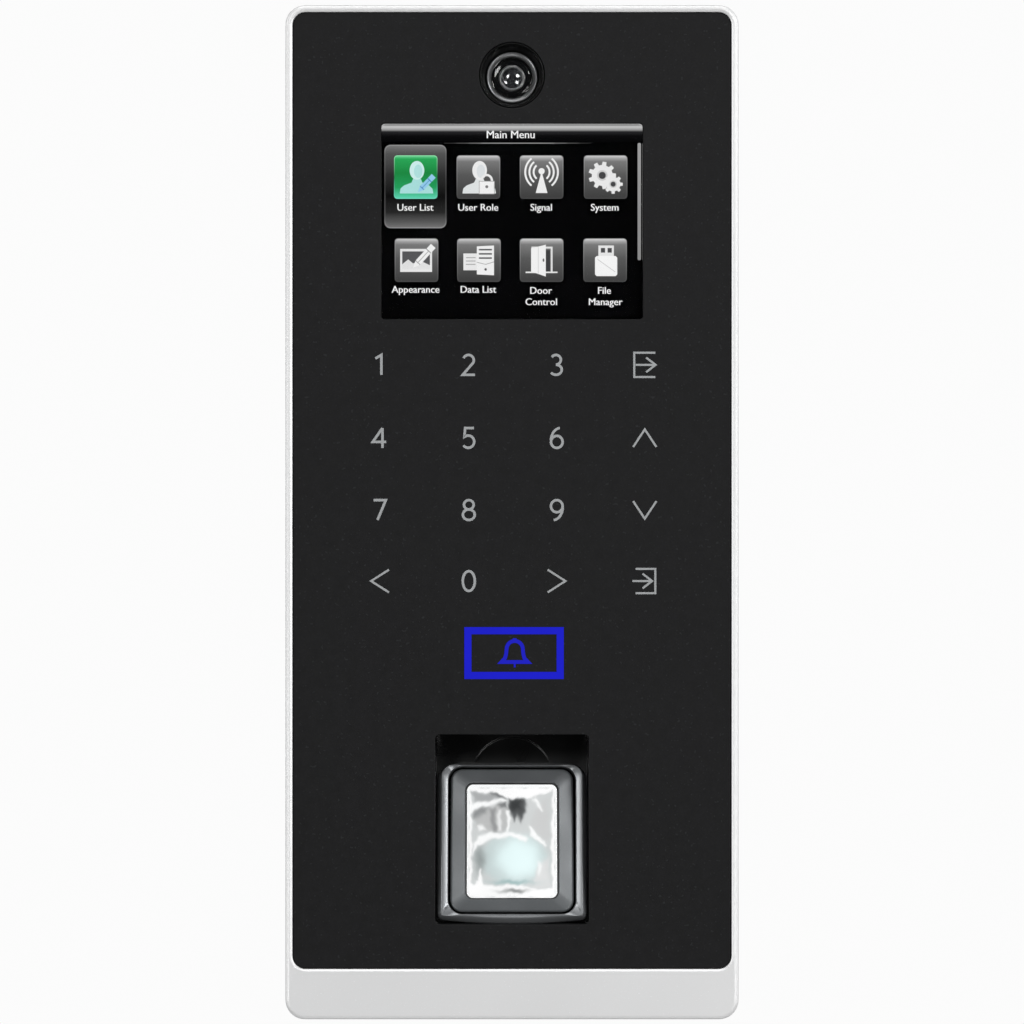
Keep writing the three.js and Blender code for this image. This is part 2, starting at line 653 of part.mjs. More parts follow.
add('sensor_bezel', cut(slab(bezelOutline(), 2.4, -0.7, { bevel: 0.7 }), slab(moduleOutline(0.35), 9, -9)),
  FINISH.bezel, sensorFrame);
add(
  'sensor_seal',
  cut(slab(moduleOutline(1.2), 2.8, 2.5), slab(moduleOutline(0.35), 9, -9)),
  FINISH.rubber,
  sensorFrame,
);

function sensorHousing() {
  const body = slab(moduleOutline(0), SENSOR.depth, -0.2, { bevel: 0.5, bevelSteps: 2 });
  const ears = block(
    -SENSOR_EAR.x - 2.2,
    SENSOR_EAR.x + 2.2,
    SENSOR_EAR.front,
    SENSOR_EAR.back,
    -SENSOR_EAR.height / 2,
    SENSOR_EAR.height / 2,
  );
  return cut(
    join(body, ears), slab(windowOutline(0.15), 11, -9), rodY(0, 0, 4.2, 5, 20),
    ...[-1, 1].map((side) => rodY(side * SENSOR_EAR.x, 0, 1.15, 0, 20, 12)),
  );
}
add('sensor_housing', sensorHousing(), FINISH.grey, sensorFrame);

// The prism: its face takes the finger, and its slanted back sends the picture down to the imager.
const prismProfile = [
  [0.1, -WINDOW.height / 2], [0.1, WINDOW.height / 2], [4.2, WINDOW.height / 2], [8.4, -WINDOW.height / 2],
];
add('sensor_prism', bar(prismProfile, -WINDOW.width / 2, WINDOW.width / 2)
  .intersect(slab(windowOutline(0), 10, 0)), FINISH.glass, sensorFrame);
add(
  'sensor_light_board',
  cut(slab(roundedRect(16.4, 21.2, 0.8), 9.9, 9.0, { arc: 1 }), rodY(0, 0, 3.4, 0, 20)),
  FINISH.board,
  sensorFrame,
);
add(
  'sensor_imager',
  join(rodY(0, 0, 3, 9.2, 13.4), block(-4, 4, 13, 14.1, -4, 4)).intersect(rodY(0, 0, 3.9, 0, 20)),
  FINISH.black,
  sensorFrame,
);
add('sensor_board', slab(roundedRect(24, 27, 1), 15.6, 14.4, { arc: 1 }), FINISH.board, sensorFrame);
[-1, 1].forEach((side) => addScrew(side < 0 ? 'sensor_screw_left' : 'sensor_screw_right',
  screw({ shank: 0.75, length: 3.2, head: 1.9, headHeight: 1.2 }), [
    side * SENSOR_EAR.x, SENSOR_EAR.back + 0.05, 0,
  ],
  POINTS_FORWARD, sensorFrame));

// ---------------------------------------------------------------- boards and their parts
const boardHoles = BOARD_SCREWS.map(([x, z]) => rodY(x, z, 1.5, -30, 0, 12));
add(
  'main_board',
  cut(
    slab(
      roundedRect(
        MAIN_BOARD.width,
        MAIN_BOARD.top - MAIN_BOARD.bottom,
        1.5,
        0,
        (MAIN_BOARD.top + MAIN_BOARD.bottom) / 2,
      ),
      MAIN_BOARD.back,
      MAIN_BOARD.front,
      { arc: 1 },
    ),
    ...boardHoles,
  ),
  FINISH.board,
);
BOARD_SCREWS.forEach(
  ([x, z], i) => addScrew(
    `board_screw_${i + 1}`,
    screw({ shank: 1.05, length: 7, head: 2.1, headHeight: 1.4 }),
    [x, MAIN_BOARD.front - 0.05, z],
    POINTS_BACK,
  ),
);

const onBoard = MAIN_BOARD.front - 0.1; // parts stand on the board's front face
add(
  'processor_shield',
  cut(block(-14, 14, onBoard - 2.6, onBoard, 30, 54), block(-13.6, 13.6, onBoard - 2.2, 0, 30.4, 53.6)),
  FINISH.steel,
);
add(
  'door_relay', slab(roundedRect(15.5, 19, 0.8, -22, 14), onBoard, onBoard - 13, { arc: 1 }), FINISH.black,
);
const CELL = { x: 19, z: 8, radius: 10 };
add('coin_cell_holder', cut(rodY(CELL.x, CELL.z, CELL.radius + 1.4, onBoard - 3.4, onBoard, 20),
  rodY(CELL.x, CELL.z, CELL.radius + 0.3, -60, onBoard - 0.8, 20),
  block(CELL.x - 5, CELL.x + 5, -60, onBoard - 0.8, CELL.z, CELL.z + 20)), FINISH.connector);
add('coin_cell', rodY(CELL.x, CELL.z, CELL.radius, onBoard - 4.1, onBoard - 0.9, 20), FINISH.steel);

// A wafer header on the board's back: an open box for a cable's plug, with its pins standing in it.
function header(x, z, pins) {
  const pitch = 2.5;
  const [width, height] = [pitch * pins + 2.4, 5.8];
  const [back, front] = [MAIN_BOARD.back + 7, MAIN_BOARD.back + 0.1];
  const shell = cut(
    block(x - width / 2, x + width / 2, front, back, z - height / 2, z + height / 2),
    block(
      x - width / 2 + 0.8,
      x + width / 2 - 0.8,
      front + 1.2,
      back + 1,
      z - height / 2 + 0.8,
      z + height / 2 - 0.8,
    ),
  );
  const pinAt = (i) => x + (i - (pins - 1) / 2) * pitch;
  return join(shell, ...Array.from({ length: pins }, (_, i) =>
    block(pinAt(i) - 0.32, pinAt(i) + 0.32, front + 1, back - 1.2, z - 0.32, z + 0.32)));
}
const HEADERS = {
  header_power: [-14, -15.5, 3],
  header_lock: [7, -15.5, 6],
  header_reader: [-11, -28, 6],
  header_network: [12, -28, 4],
};
for (const [name, [x, z, pins]] of Object.entries(HEADERS)) add(name, header(x, z, pins), FINISH.connector);

add(
  'io_board',
  cut(
    slab(
      roundedRect(
        IO_BOARD.right - IO_BOARD.left,
        IO_BOARD.top - IO_BOARD.bottom,
        1,
        (IO_BOARD.left + IO_BOARD.right) / 2,
        (IO_BOARD.top + IO_BOARD.bottom) / 2,
      ),
      IO_BOARD.back,
      IO_BOARD.front,
      { arc: 1 },
    ),
    block(-12.2, 12.2, -20, -10, IO_BOARD.bottom - 1, -86),
    block(-5.6, 5.6, -20, -10, IO_BOARD.bottom - 1, -79),
    ...[-1, 1].map((side) => rodY(side * IO_POSTS.x, IO_POSTS.z, IO_POSTS.pin + GAP, -20, -10, 12)),
  ),
  FINISH.board,
);

function usbSocket() {
  const low = BOTTOM_INSIDE + 0.2;
  const outline = (inset) => roundedRect(USB.width - 2 * inset, USB.depth - 2 * inset, 0.5, USB.x, USB.y);
  const tongue = block(
    USB.x - 5.6, USB.x + 5.6, USB.y - 1.9, USB.y - 0.1, low + 1.6, low + USB.length - 0.5,
  );
  return join(
    cut(
      column(outline(0), low, low + USB.length, 1), column(outline(0.4), low - 1, low + USB.length - 1, 1),
    ),
    tongue,
  );
}
add('usb_socket', usbSocket(), FINISH.steel);

// The rubber flap that closes the socket: its plug fills the mouth, and it swings about its edge
// nearest the wall.
function usbCover() {
  const middle = USB_FLAP.hingeY - USB_FLAP.depth / 2;
  return join(
    column(
      roundedRect(USB_FLAP.width, USB_FLAP.depth, 1.4, USB.x, middle),
      REAR_BOTTOM,
      REAR_BOTTOM + USB_FLAP.thickness,
    ),
    column(roundedRect(12.2, 4, 0.6, USB.x, USB.y), REAR_BOTTOM + 1, REAR_BOTTOM + 2.5, 3),
  );
}
add('usb_cover', usbCover(), FINISH.rubber);

// ---------------------------------------------------------------- reset button, tamper switch and speaker
const RESET_TOP = BOTTOM_INSIDE + 2.2;
add(
  'reset_button',
  join(
    rodZ(RESET.x, RESET.y, RESET.radius, REAR_BOTTOM + 0.5, RESET_TOP, 12),
    rodZ(RESET.x, RESET.y, RESET.radius + 1, BOTTOM_INSIDE + 0.3, BOTTOM_INSIDE + 1.1, 12),
  ),
  FINISH.connector,
);
add('reset_switch', join(block(RESET.x - 3, RESET.x + 3, -13.3, -7, RESET_TOP + 1.3, RESET_TOP + 4.5),
  rodZ(RESET.x, RESET.y, 1.5, RESET_TOP + 0.9, RESET_TOP + 1.5, 12)), FINISH.black);

const TAMPER_TIP = -0.2;
const COLLAR = { radius: 3, front: -8, back: -7 };
const SWITCH_FACE = -10.6;
add(
  'tamper_plunger',
  turned(
    [
      [0, COLLAR.front - 3.4],
      [0.8, COLLAR.front - 3.4],
      [0.8, COLLAR.front],
      [COLLAR.radius, COLLAR.front],
      [COLLAR.radius, COLLAR.back],
      [TAMPER.radius, COLLAR.back],
      [TAMPER.radius, TAMPER_TIP - 0.8],
      [TAMPER.radius - 0.7, TAMPER_TIP],
      [0, TAMPER_TIP],
    ],
    TAMPER.z,
    14,
  ).translate([TAMPER.x, 0, 0]),
  FINISH.connector,
);
add(
  'tamper_switch',
  cut(
    block(
      TAMPER.x - 4.5, TAMPER.x + 4.5, MAIN_BOARD.back + 0.1, SWITCH_FACE, TAMPER.z - 4.5, TAMPER.z + 4.5,
    ),
    rodY(TAMPER.x, TAMPER.z, 1.2, SWITCH_FACE - 4, SWITCH_FACE + 1, 12),
  ),
  FINISH.black,
);

class Helix extends THREE.Curve {
  constructor(radius, turns, from, to) {
    super();
    Object.assign(this, { radius, turns, from, to });
  }
  getPoint(t, target = new THREE.Vector3()) {
    const angle = 2 * Math.PI * this.turns * t;
    return target.set(
      this.radius * Math.cos(angle),
      THREE.MathUtils.lerp(this.from, this.to, t),
      this.radius * Math.sin(angle),
    );
  }
}
const springWire = new THREE.Shape();
springWire.absarc(0, 0, 0.22, 0, 2 * Math.PI);
const springPath = new Helix(2, 3, SWITCH_FACE + 0.3, COLLAR.front - 0.3);
const spring = new THREE.ExtrudeGeometry(
  springWire, { steps: 36, curveSegments: 2, extrudePath: springPath },
);
add('tamper_spring', solid(spring).translate([TAMPER.x, 0, TAMPER.z]), FINISH.steel);

const speakerOutline = (inset) => roundedRect(
  SPEAKER.length - 2 * inset, SPEAKER.width - 2 * inset, 6 - inset, SPEAKER.x, SPEAKER.y,
);
const speakerLow = SPEAKER.wallTop + 0.2;
add(
  'speaker',
  join(
    column(speakerOutline(0), speakerLow, speakerLow + 2.6, 5),
    column(speakerOutline(2.5), speakerLow, speakerLow + 4.6, 5),
  ),
  FINISH.black,
);

// ---------------------------------------------------------------- ribbons between the boards
const RIBBON = 0.3;
// A flat ribbon through [y, z] points, thick enough to be a solid, between x = left and x = right.
function ribbon(points, left, right) {
  const path = points.map(([y, z]) => new THREE.Vector2(y, z));
  const normalAt = (i) => {
    const before = path[Math.max(i - 1, 0)];
    const after = path[Math.min(i + 1, path.length - 1)];
    return new THREE.Vector2(
      -(after.y - before.y), after.x - before.x,
    ).normalize().multiplyScalar(RIBBON / 2);
  };
  const one = path.map((p, i) => p.clone().add(normalAt(i)));
  const other = path.map((p, i) => p.clone().sub(normalAt(i))).reverse();
  return bar([...one, ...other].map((p) => [p.x, p.y]), left, right);
}
const trayBack = LCD.front + TRAY.depth;
add(
  'lcd_ribbon',
  ribbon(
    [
      [trayBack + 0.6, 40],
      [trayBack + 0.6, 33],
      [-31.5, 28.6],
      [-24, 27.8],
      [-18.6, 27],
      [-17.6, 24.5],
      [-17.4, 20],
    ],
    -8,
    4,
  ),
  FINISH.flex,
);
add(
  'camera_ribbon',
  ribbon(
    [[-28.6, 76], [-28.4, 73], [-26.5, 70.5], [-22, 69.8], [-18.6, 69], [-17.5, 66.5], [-17.4, 62]], -4, 4,
  ),
  FINISH.flex,
);
add(
  'keypad_ribbon',
  ribbon(
    [[-35.8, -24], [-35.4, -27.5], [-31, -30], [-24, -30.5], [-19, -30.2], [-17.6, -28], [-17.4, -24]],
    -26,
    -16,
  ),
  FINISH.flex,
);
add(
  'sensor_ribbon',
  ribbon([[-17.3, -54.5], [-16.55, -51.6], [-16.5, -47], [-17.35, -42], [-17.35, -36.5]], -6, 6),
  FINISH.flex,
);

export default reader;
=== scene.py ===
"""Fingerprint access terminal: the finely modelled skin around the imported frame, its materials,
light and camera.

Lengths in the helpers are millimetres; everything is made in metres in the row frame. The terminal faces -Y.
"""
import json
import math

import bmesh
import bpy
from mathutils import Matrix, Quaternion, Vector

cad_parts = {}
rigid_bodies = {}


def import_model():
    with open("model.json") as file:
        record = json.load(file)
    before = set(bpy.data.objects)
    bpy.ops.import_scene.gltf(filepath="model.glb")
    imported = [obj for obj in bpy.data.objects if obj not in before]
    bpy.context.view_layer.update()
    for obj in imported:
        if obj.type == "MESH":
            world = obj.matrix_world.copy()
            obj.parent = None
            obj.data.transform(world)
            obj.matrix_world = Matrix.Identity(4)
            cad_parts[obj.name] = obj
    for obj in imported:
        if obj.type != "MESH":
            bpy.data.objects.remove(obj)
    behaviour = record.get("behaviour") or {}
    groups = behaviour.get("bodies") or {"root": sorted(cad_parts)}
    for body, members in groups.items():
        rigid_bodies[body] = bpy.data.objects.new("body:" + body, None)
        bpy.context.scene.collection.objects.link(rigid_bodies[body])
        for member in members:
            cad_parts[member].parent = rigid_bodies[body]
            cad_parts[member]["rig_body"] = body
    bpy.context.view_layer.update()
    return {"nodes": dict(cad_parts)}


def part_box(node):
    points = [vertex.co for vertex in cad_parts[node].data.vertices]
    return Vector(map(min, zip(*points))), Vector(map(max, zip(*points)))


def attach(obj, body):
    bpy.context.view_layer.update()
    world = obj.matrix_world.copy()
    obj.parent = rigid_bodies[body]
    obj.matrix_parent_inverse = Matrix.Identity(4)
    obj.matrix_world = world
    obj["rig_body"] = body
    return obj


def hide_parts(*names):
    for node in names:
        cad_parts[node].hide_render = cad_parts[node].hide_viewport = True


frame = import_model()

MM = 0.001


def box_mm(node):
    """Lowest and highest corner of a CAD node, in millimetres."""
    low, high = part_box(node)
    return low / MM, high / MM


# ---------------------------------------------------------------- materials
def channels(colour):
    """A colour's red, green and blue; a single number is a grey."""
    return colour if isinstance(colour, tuple) else (colour,) * 3


def linear(colour):
    """A colour given as display values from 0 to 255, as the shader's linear values."""

    def one(value):
        value /= 255
        return value / 12.92 if value <= 0.04045 else ((value + 0.055) / 1.055) ** 2.4

    return (*(one(value) for value in channels(colour)), 1.0)


def scaled(colour, factor):
    return tuple(min(1.0, channel * factor) for channel in colour[:3]) + (1.0,)


LOOK = {}  # every material, by name


class Finish:
    """A node tree around one Principled shader, with the surface's own coordinates in metres."""

    def __init__(self, name, **sockets):
        self.material = bpy.data.materials.new(name)
        LOOK[name] = self.material
        self.material.use_nodes = True
        self.tree = self.material.node_tree
        self.tree.nodes.clear()
        output = self.tree.nodes.new("ShaderNodeOutputMaterial")
        self.shader = self.tree.nodes.new("ShaderNodeBsdfPrincipled")
        self.tree.links.new(self.shader.outputs["BSDF"], output.inputs["Surface"])
        self.place = self.tree.nodes.new("ShaderNodeTexCoord").outputs["Object"]
        for socket, value in sockets.items():
            self.shader.inputs[socket.replace("_", " ")].default_value = value

    def node(self, kind, inputs=(), **settings):
        made = self.tree.nodes.new(kind)
        for name, value in settings.items():
            setattr(made, name, value)
        for socket, value in dict(inputs).items():
            if isinstance(value, bpy.types.NodeSocket):
                self.tree.links.new(value, made.inputs[socket])
            else:
                made.inputs[socket].default_value = value
        return made

    def noise(self, size, detail=3.0, stretch=(1, 1, 1)):
        """Noise whose features are about size millimetres across."""
        where = self.node("ShaderNodeMapping", {"Vector": self.place, "Scale": stretch})
        inputs = {"Vector": where.outputs[0], "Scale": 0.5 / (size * MM), "Detail": detail,
                  "Roughness": 0.55}
        return self.node("ShaderNodeTexNoise", inputs).outputs[0]

    def between(self, value, low, high, to_low=0.0, to_high=1.0):
        inputs = {"Value": value, "From Min": low, "From Max": high, "To Min": to_low, "To Max": to_high}
        return self.node("ShaderNodeMapRange", inputs, clamp=True).outputs[0]

    def mix(self, factor, first, second):
        made = self.node("ShaderNodeMix", data_type="RGBA")
        for index, value in ((0, factor), (6, first), (7, second)):
            if isinstance(value, bpy.types.NodeSocket):
                self.tree.links.new(value, made.inputs[index])
            else:
                made.inputs[index].default_value = value
        return made.outputs[2]

    def bump(self, height, depth, strength=1.0):
        inputs = {"Height": height, "Distance": depth * MM, "Strength": strength}
        return self.node("ShaderNodeBump", inputs).outputs[0]

    def feed(self, socket, value):
        self.tree.links.new(value, self.shader.inputs[socket])


def surface(name, colour, roughness, *, grain=0.25, depth=0.006, mottle=0.06, patch=9.0, spread=0.05,
            specks=None, worn=None, stretch=(1, 1, 1), **sockets):
    """A moulded, painted or metal surface: fine grain in the bump, slow changes of colour and roughness
    over it, sparse specks, and edges that have rubbed to another colour."""
    colour = linear(colour)
    made = Finish(name, **sockets)
    patches = made.noise(patch, 2.0)
    tint = made.mix(made.between(patches, 0.3, 0.7), scaled(colour, 1 - mottle), scaled(colour, 1 + mottle))
    fine = made.noise(grain, 2.0, stretch)
    tint = made.mix(made.between(fine, 0.35, 0.65, 0.0, 0.5), tint, scaled(colour, 1 - 2 * mottle))
    if specks:
        size, threshold, speck_colour, amount = specks
        dots = made.between(made.noise(size, 1.0), threshold, threshold + 0.06, 0.0, amount)
        tint = made.mix(dots, tint, linear(speck_colour))
    if worn:
        worn_colour, amount = worn
        edge = made.node("ShaderNodeNewGeometry").outputs["Pointiness"]
        rubbed = made.between(edge, 0.52, 0.62, 0.0, amount)
        tint = made.mix(rubbed, tint, linear(worn_colour))
    made.feed("Base Color", tint)
    made.feed("Roughness", made.between(patches, 0.3, 0.7, max(roughness - spread, 0.02), roughness
                                        + spread))
    made.feed("Normal", made.bump(fine, depth))
    return made.material


def lit(name, strength):
    """A surface that shines in the colours stored on its own corners, with the slight unevenness of a
    backlight."""
    made = Finish(name, Base_Color=(0, 0, 0, 1), Roughness=0.5, Emission_Strength=strength,
                  Specular_IOR_Level=0.0)
    tone = made.node("ShaderNodeVertexColor", layer_name="tone").outputs["Color"]
    dim = made.mix(made.between(made.noise(6, 1.0), 0.3, 0.7, 0.0, 0.08), tone, (0, 0, 0, 1))
    made.feed("Emission Color", dim)
    return made.material


def clear(name, roughness, ior=1.49, wave=0.3):
    """Glass or clear plastic, whose face is slightly uneven by the share that wave gives."""
    made = Finish(name, Base_Color=(1, 1, 1, 1), Transmission_Weight=1.0, IOR=ior)
    made.feed("Roughness", made.between(made.noise(4, 3.0), 0.3, 0.7, roughness, roughness + 0.03))
    if wave:
        made.feed("Normal", made.bump(made.noise(9, 1.0), 0.002, strength=wave))
    return made.material


surface("silver_plastic", 216, 0.36, grain=0.12, depth=0.004, mottle=0.012, patch=14, spread=0.012,
        specks=(0.16, 0.68, (240, 240, 242), 0.5), Metallic=0.15)
surface("panel_black", (18, 18, 19), 0.62, grain=0.3, depth=0.01, mottle=0.24, patch=1.1,
        specks=(0.3, 0.66, (44, 46, 47), 0.4), Specular_IOR_Level=0.16)
surface("case_black", (30, 30, 31), 0.5, grain=0.4, depth=0.02, mottle=0.1, patch=7, worn=(70, 0.5))
surface("zinc_steel", (190, 193, 196), 0.4, grain=0.5, depth=0.004, mottle=0.04, patch=5, spread=0.03,
        stretch=(1, 1, 0.12), worn=((220, 221, 222), 0.5), Metallic=0.95)
surface("screw_steel", (170, 173, 176), 0.28, grain=0.12, depth=0.003, mottle=0.08, patch=1.5,
        worn=((225, 226, 228), 0.5), Metallic=1.0)
surface("brass", (196, 158, 88), 0.3, grain=0.12, depth=0.004, mottle=0.08, patch=2, Metallic=1.0)
surface("copper_wire", (176, 104, 62), 0.35, grain=0.2, depth=0.02, mottle=0.12, patch=3,
        stretch=(0.2, 1, 0.2), Metallic=0.9)
surface("circuit_board", (22, 84, 44), 0.34, grain=0.5, depth=0.01, mottle=0.22, patch=1.6,
        specks=(0.7, 0.68, (184, 188, 176), 0.9))
surface("connector_white", (222, 216, 200), 0.45, grain=0.2, depth=0.006, mottle=0.04, patch=3,
        Subsurface_Weight=0.05)
surface("rubber", (30, 30, 31), 0.78, grain=0.18, depth=0.012, mottle=0.14, patch=2.5, worn=(62, 0.6))
surface("flex_amber", (196, 122, 44), 0.3, grain=0.3, depth=0.003, mottle=0.12, patch=1.2,
        stretch=(4, 1, 1))
surface("legend", (146, 148, 149), 0.6, grain=0.1, depth=0.002, mottle=0.05, patch=0.8)
clear("cover_glass", roughness=0.03, ior=1.12)
surface("display_glass", (5, 5, 6), 0.5, grain=0.6, depth=0.0006, mottle=0.1, patch=12,
        Specular_IOR_Level=0.0)
lit("screen", 1.0)
lit("blue_light", 1.0)
lit("sensor_light", 1.12)
surface("camera_metal", (138, 139, 140), 0.3, grain=0.1, depth=0.002, mottle=0.05, patch=2, Metallic=0.7)
clear("coated_glass", roughness=0.05, ior=1.42, wave=0.0)
surface("rim_metal", (158, 159, 160), 0.42, grain=0.1, depth=0.002, mottle=0.05, patch=1, Metallic=0.35)
surface("ring_black", 6, 0.4, grain=0.3, depth=0.002, mottle=0.1, patch=3, Specular_IOR_Level=0.15)
surface("lens_dark", (52, 53, 56), 0.05, grain=0.6, depth=0.0002, mottle=0.2, patch=1.0, Coat_Weight=1.0,
        Coat_Roughness=0.02, Coat_IOR=1.9)
surface("baffle_black", 6, 0.7, grain=0.1, depth=0.004, mottle=0.1, patch=2, Specular_IOR_Level=0.0)
surface("bezel_satin", (126, 128, 130), 0.29, grain=0.16, depth=0.0015, mottle=0.03, patch=4,
        spread=0.015, Metallic=0.55)
surface("sensor_satin", (96, 99, 101), 0.36, grain=0.14, depth=0.005, mottle=0.05, patch=4, Metallic=0.3)
clear("platen_glass", roughness=0.03)
surface("recess_black", 6, 0.3, grain=0.3, depth=0.003, mottle=0.1, patch=5)
surface("guide_blue", (40, 44, 190), 0.4, grain=0.3, depth=0.003, mottle=0.06, patch=4)


# ---------------------------------------------------------------- mesh helpers
def finish_piece(name, mesh, look, body="terminal", cad=(), angle=34, weight=50):
    """A mesh in metres becomes a piece: smooth but for its sharp edges, with its material, body and CAD
    nodes."""
    mesh.name = name
    made = bmesh.new()
    made.from_mesh(mesh)
    bmesh.ops.recalc_face_normals(made, faces=made.faces)
    made.to_mesh(mesh)
    made.free()
    for face in mesh.polygons:
        face.use_smooth = True
    mesh.set_sharp_from_angle(angle=math.radians(angle))
    mesh.materials.clear()
    mesh.materials.append(LOOK[look])
    piece = bpy.data.objects.new(name, mesh)
    bpy.context.scene.collection.objects.link(piece)
    steady = piece.modifiers.new("steady_normals", "WEIGHTED_NORMAL")
    steady.keep_sharp = True
    steady.weight = weight
    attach(piece, body)
    if cad:
        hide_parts(*cad)
    return piece


def mesh_of(points, faces):
    """A mesh from points in millimetres."""
    mesh = bpy.data.meshes.new("piece")
    mesh.from_pydata([tuple(c * MM for c in point) for point in points], [], faces)
    mesh.validate()
    return mesh


def paint(mesh, tones):
    """Stores a colour on each corner of a mesh, for a lit material."""
    layer = mesh.color_attributes.new("tone", "FLOAT_COLOR", "CORNER")
    for corner, tone in zip(layer.data, tones):
        corner.color = tone


def rounded(width, height, radius, x=0.0, z=0.0, steps=9):
    """A rounded rectangle's points, anticlockwise as seen from the front, starting at the right side's
    top."""
    radius = max(radius, 0.02)
    corners = (
        (x + width / 2 - radius, z + height / 2 - radius, 0),
        (x - width / 2 + radius, z + height / 2 - radius, 90),
        (x - width / 2 + radius, z - height / 2 + radius, 180),
        (x + width / 2 - radius, z - height / 2 + radius, 270),
    )
    points = []
    for centre_x, centre_z, start in corners:
        for step in range(steps + 1):
            turn = math.radians(start + 90 * step / steps)
            points.append((centre_x + radius * math.cos(turn), centre_z + radius * math.sin(turn)))
    return points


def circle(radius, x=0.0, z=0.0, sides=72):
    return [
        (x + radius * math.cos(2 * math.pi * k / sides), z + radius * math.sin(2 * math.pi * k / sides))
        for k in range(sides)
    ]


def loft(rings):
    """A closed skin through rings of equally many (x, y, z) points, the last of which joins the first."""
    count = len(rings[0])
    points = [point for ring in rings for point in ring]
    faces = []
    for row in range(len(rings)):
        here, there = row * count, ((row + 1) % len(rings)) * count
        for k in range(count):
            after = (k + 1) % count
            faces.append((here + k, here + after, there + after, there + k))
    return mesh_of(points, faces)


def divide(mesh, longest=5.0, cuts=8):
    """Cuts a skin's long straight stretches up, so that a twisted stretch shades evenly."""
    made = bmesh.new()
    made.from_mesh(mesh)
    stretches = [edge for edge in made.edges if edge.calc_length() > longest * MM]
    bmesh.ops.subdivide_edges(made, edges=stretches, cuts=cuts, use_grid_fill=True)
    made.to_mesh(mesh)
    made.free()
    return mesh


def fillet(inset, depth, radius, steps=5):
    """(inset, depth) along a quarter circle, from the side (inset) to the face (inset + radius)."""
    return [
        (inset + radius * (1 - math.cos(math.radians(90 * k / steps))),
         depth + radius * (1 - math.sin(math.radians(90 * k / steps))))
        for k in range(steps + 1)
    ]


def plate(outline, holes, front, back, edge, steps=3):
    """A flat piece with holes, its front and back rims rounded by edge."""
    drawing = bpy.data.curves.new("plate", "CURVE")
    drawing.dimensions = "2D"
    drawing.fill_mode = "BOTH"
    drawing.extrude = (back - front) / 2 - edge
    drawing.bevel_depth = edge
    drawing.bevel_resolution = steps
    drawing.offset = -edge
    for loop in [outline, *holes]:
        line = drawing.splines.new("POLY")
        line.points.add(len(loop) - 1)
        for point, (x, z) in zip(line.points, loop):
            point.co = (x, z, 0, 1)
        line.use_cyclic_u = True
    holder = bpy.data.objects.new("plate", drawing)
    bpy.context.scene.collection.objects.link(holder)
    bpy.context.view_layer.update()
    mesh = bpy.data.meshes.new_from_object(holder.evaluated_get(bpy.context.evaluated_depsgraph_get()))
    bpy.data.objects.remove(holder)
    bpy.data.curves.remove(drawing)
    middle = (front + back) / 2
    mesh.transform(Matrix.Translation((0, middle * MM, 0)) @ Matrix.Rotation(math.radians(90), 4, "X")
                   @ Matrix.Scale(MM, 4))
    made = bmesh.new()
    made.from_mesh(mesh)
    bmesh.ops.remove_doubles(made, verts=made.verts, dist=1e-7)
    made.to_mesh(mesh)
    made.free()
    return mesh


def turned(profile, x=0.0, z=0.0, sides=96):
    """A piece turned about an axis along Y: (radius, y) points. Points on the axis close it; otherwise
    the last joins the first."""
    points, faces, rows = [], [], []
    for radius, y in profile:
        if radius < 1e-6:
            rows.append([len(points)])
            points.append((x, y, z))
            continue
        rows.append(list(range(len(points), len(points) + sides)))
        points += [(px, y, pz) for px, pz in circle(radius, x, z, sides)]
    loop = profile[0][0] > 1e-6
    for k in range(len(rows) if loop else len(rows) - 1):
        first, second = rows[k], rows[(k + 1) % len(rows)]
        for s in range(sides):
            t = (s + 1) % sides
            corners = [first[s % len(first)], first[t % len(first)], second[t % len(second)],
                       second[s % len(second)]]
            faces.append(tuple(dict.fromkeys(corners)))
    return mesh_of(points, faces)


def prism_faces(points, faces, outline, front, back):
    """Adds a flat closed piece with that outline to a list of points and faces."""
    start, count = len(points), len(outline)
    points += [(x, front, z) for x, z in outline] + [(x, back, z) for x, z in outline]
    faces.append(tuple(start + k for k in range(count)))
    faces.append(tuple(start + count + k for k in reversed(range(count))))
    for k in range(count):
        after = (k + 1) % count
        faces.append((start + k, start + count + k, start + count + after, start + after))


def stroke(path, width, closed=False):
    """The outline of a pen line of that width along a path, with mitred turns: one loop, or two if
    closed."""
    line = [Vector(point) for point in path]
    count = len(line)
    left, right = [], []
    for k, here in enumerate(line):
        before = line[(k - 1) % count] if closed or k else here
        after = line[(k + 1) % count] if closed or k < count - 1 else here
        first, second = here - before, after - here
        first = (first if first.length > 1e-9 else second).normalized()
        second = second.normalized() if second.length > 1e-9 else first
        across = Vector((-(first.y + second.y), first.x + second.x))
        across = across.normalized() if across.length > 1e-6 else Vector((-first.y, first.x))
        reach = width / 2 / max(0.35, across.dot(Vector((-first.y, first.x))))
        left.append(tuple(here + across * reach))
        right.append(tuple(here - across * reach))
    return left, right


def pen(points, faces, path, width, front, back, closed=False):
    """Adds a pen line, as thick as ink, to a list of points and faces."""
    left, right = stroke(path, width, closed)
    start, count = len(points), len(path)
    for y in (front, back):
        points += [(x, y, z) for x, z in left] + [(x, y, z) for x, z in right]
    for k in range(count if closed else count - 1):
        n = (k + 1) % count
        l0, l1, r0, r1 = start + k, start + n, start + count + k, start + count + n
        deep = 2 * count
        faces += [(l0, l1, r1, r0), (l0 + deep, r0 + deep, r1 + deep, l1 + deep),
                  (l0, l0 + deep, l1 + deep, l1), (r0, r1, r1 + deep, r0 + deep)]
    if not closed:
        for k in (0, count - 1):
            l, r = start + k, start + count + k
            faces.append((l, r, r + 2 * count, l + 2 * count))


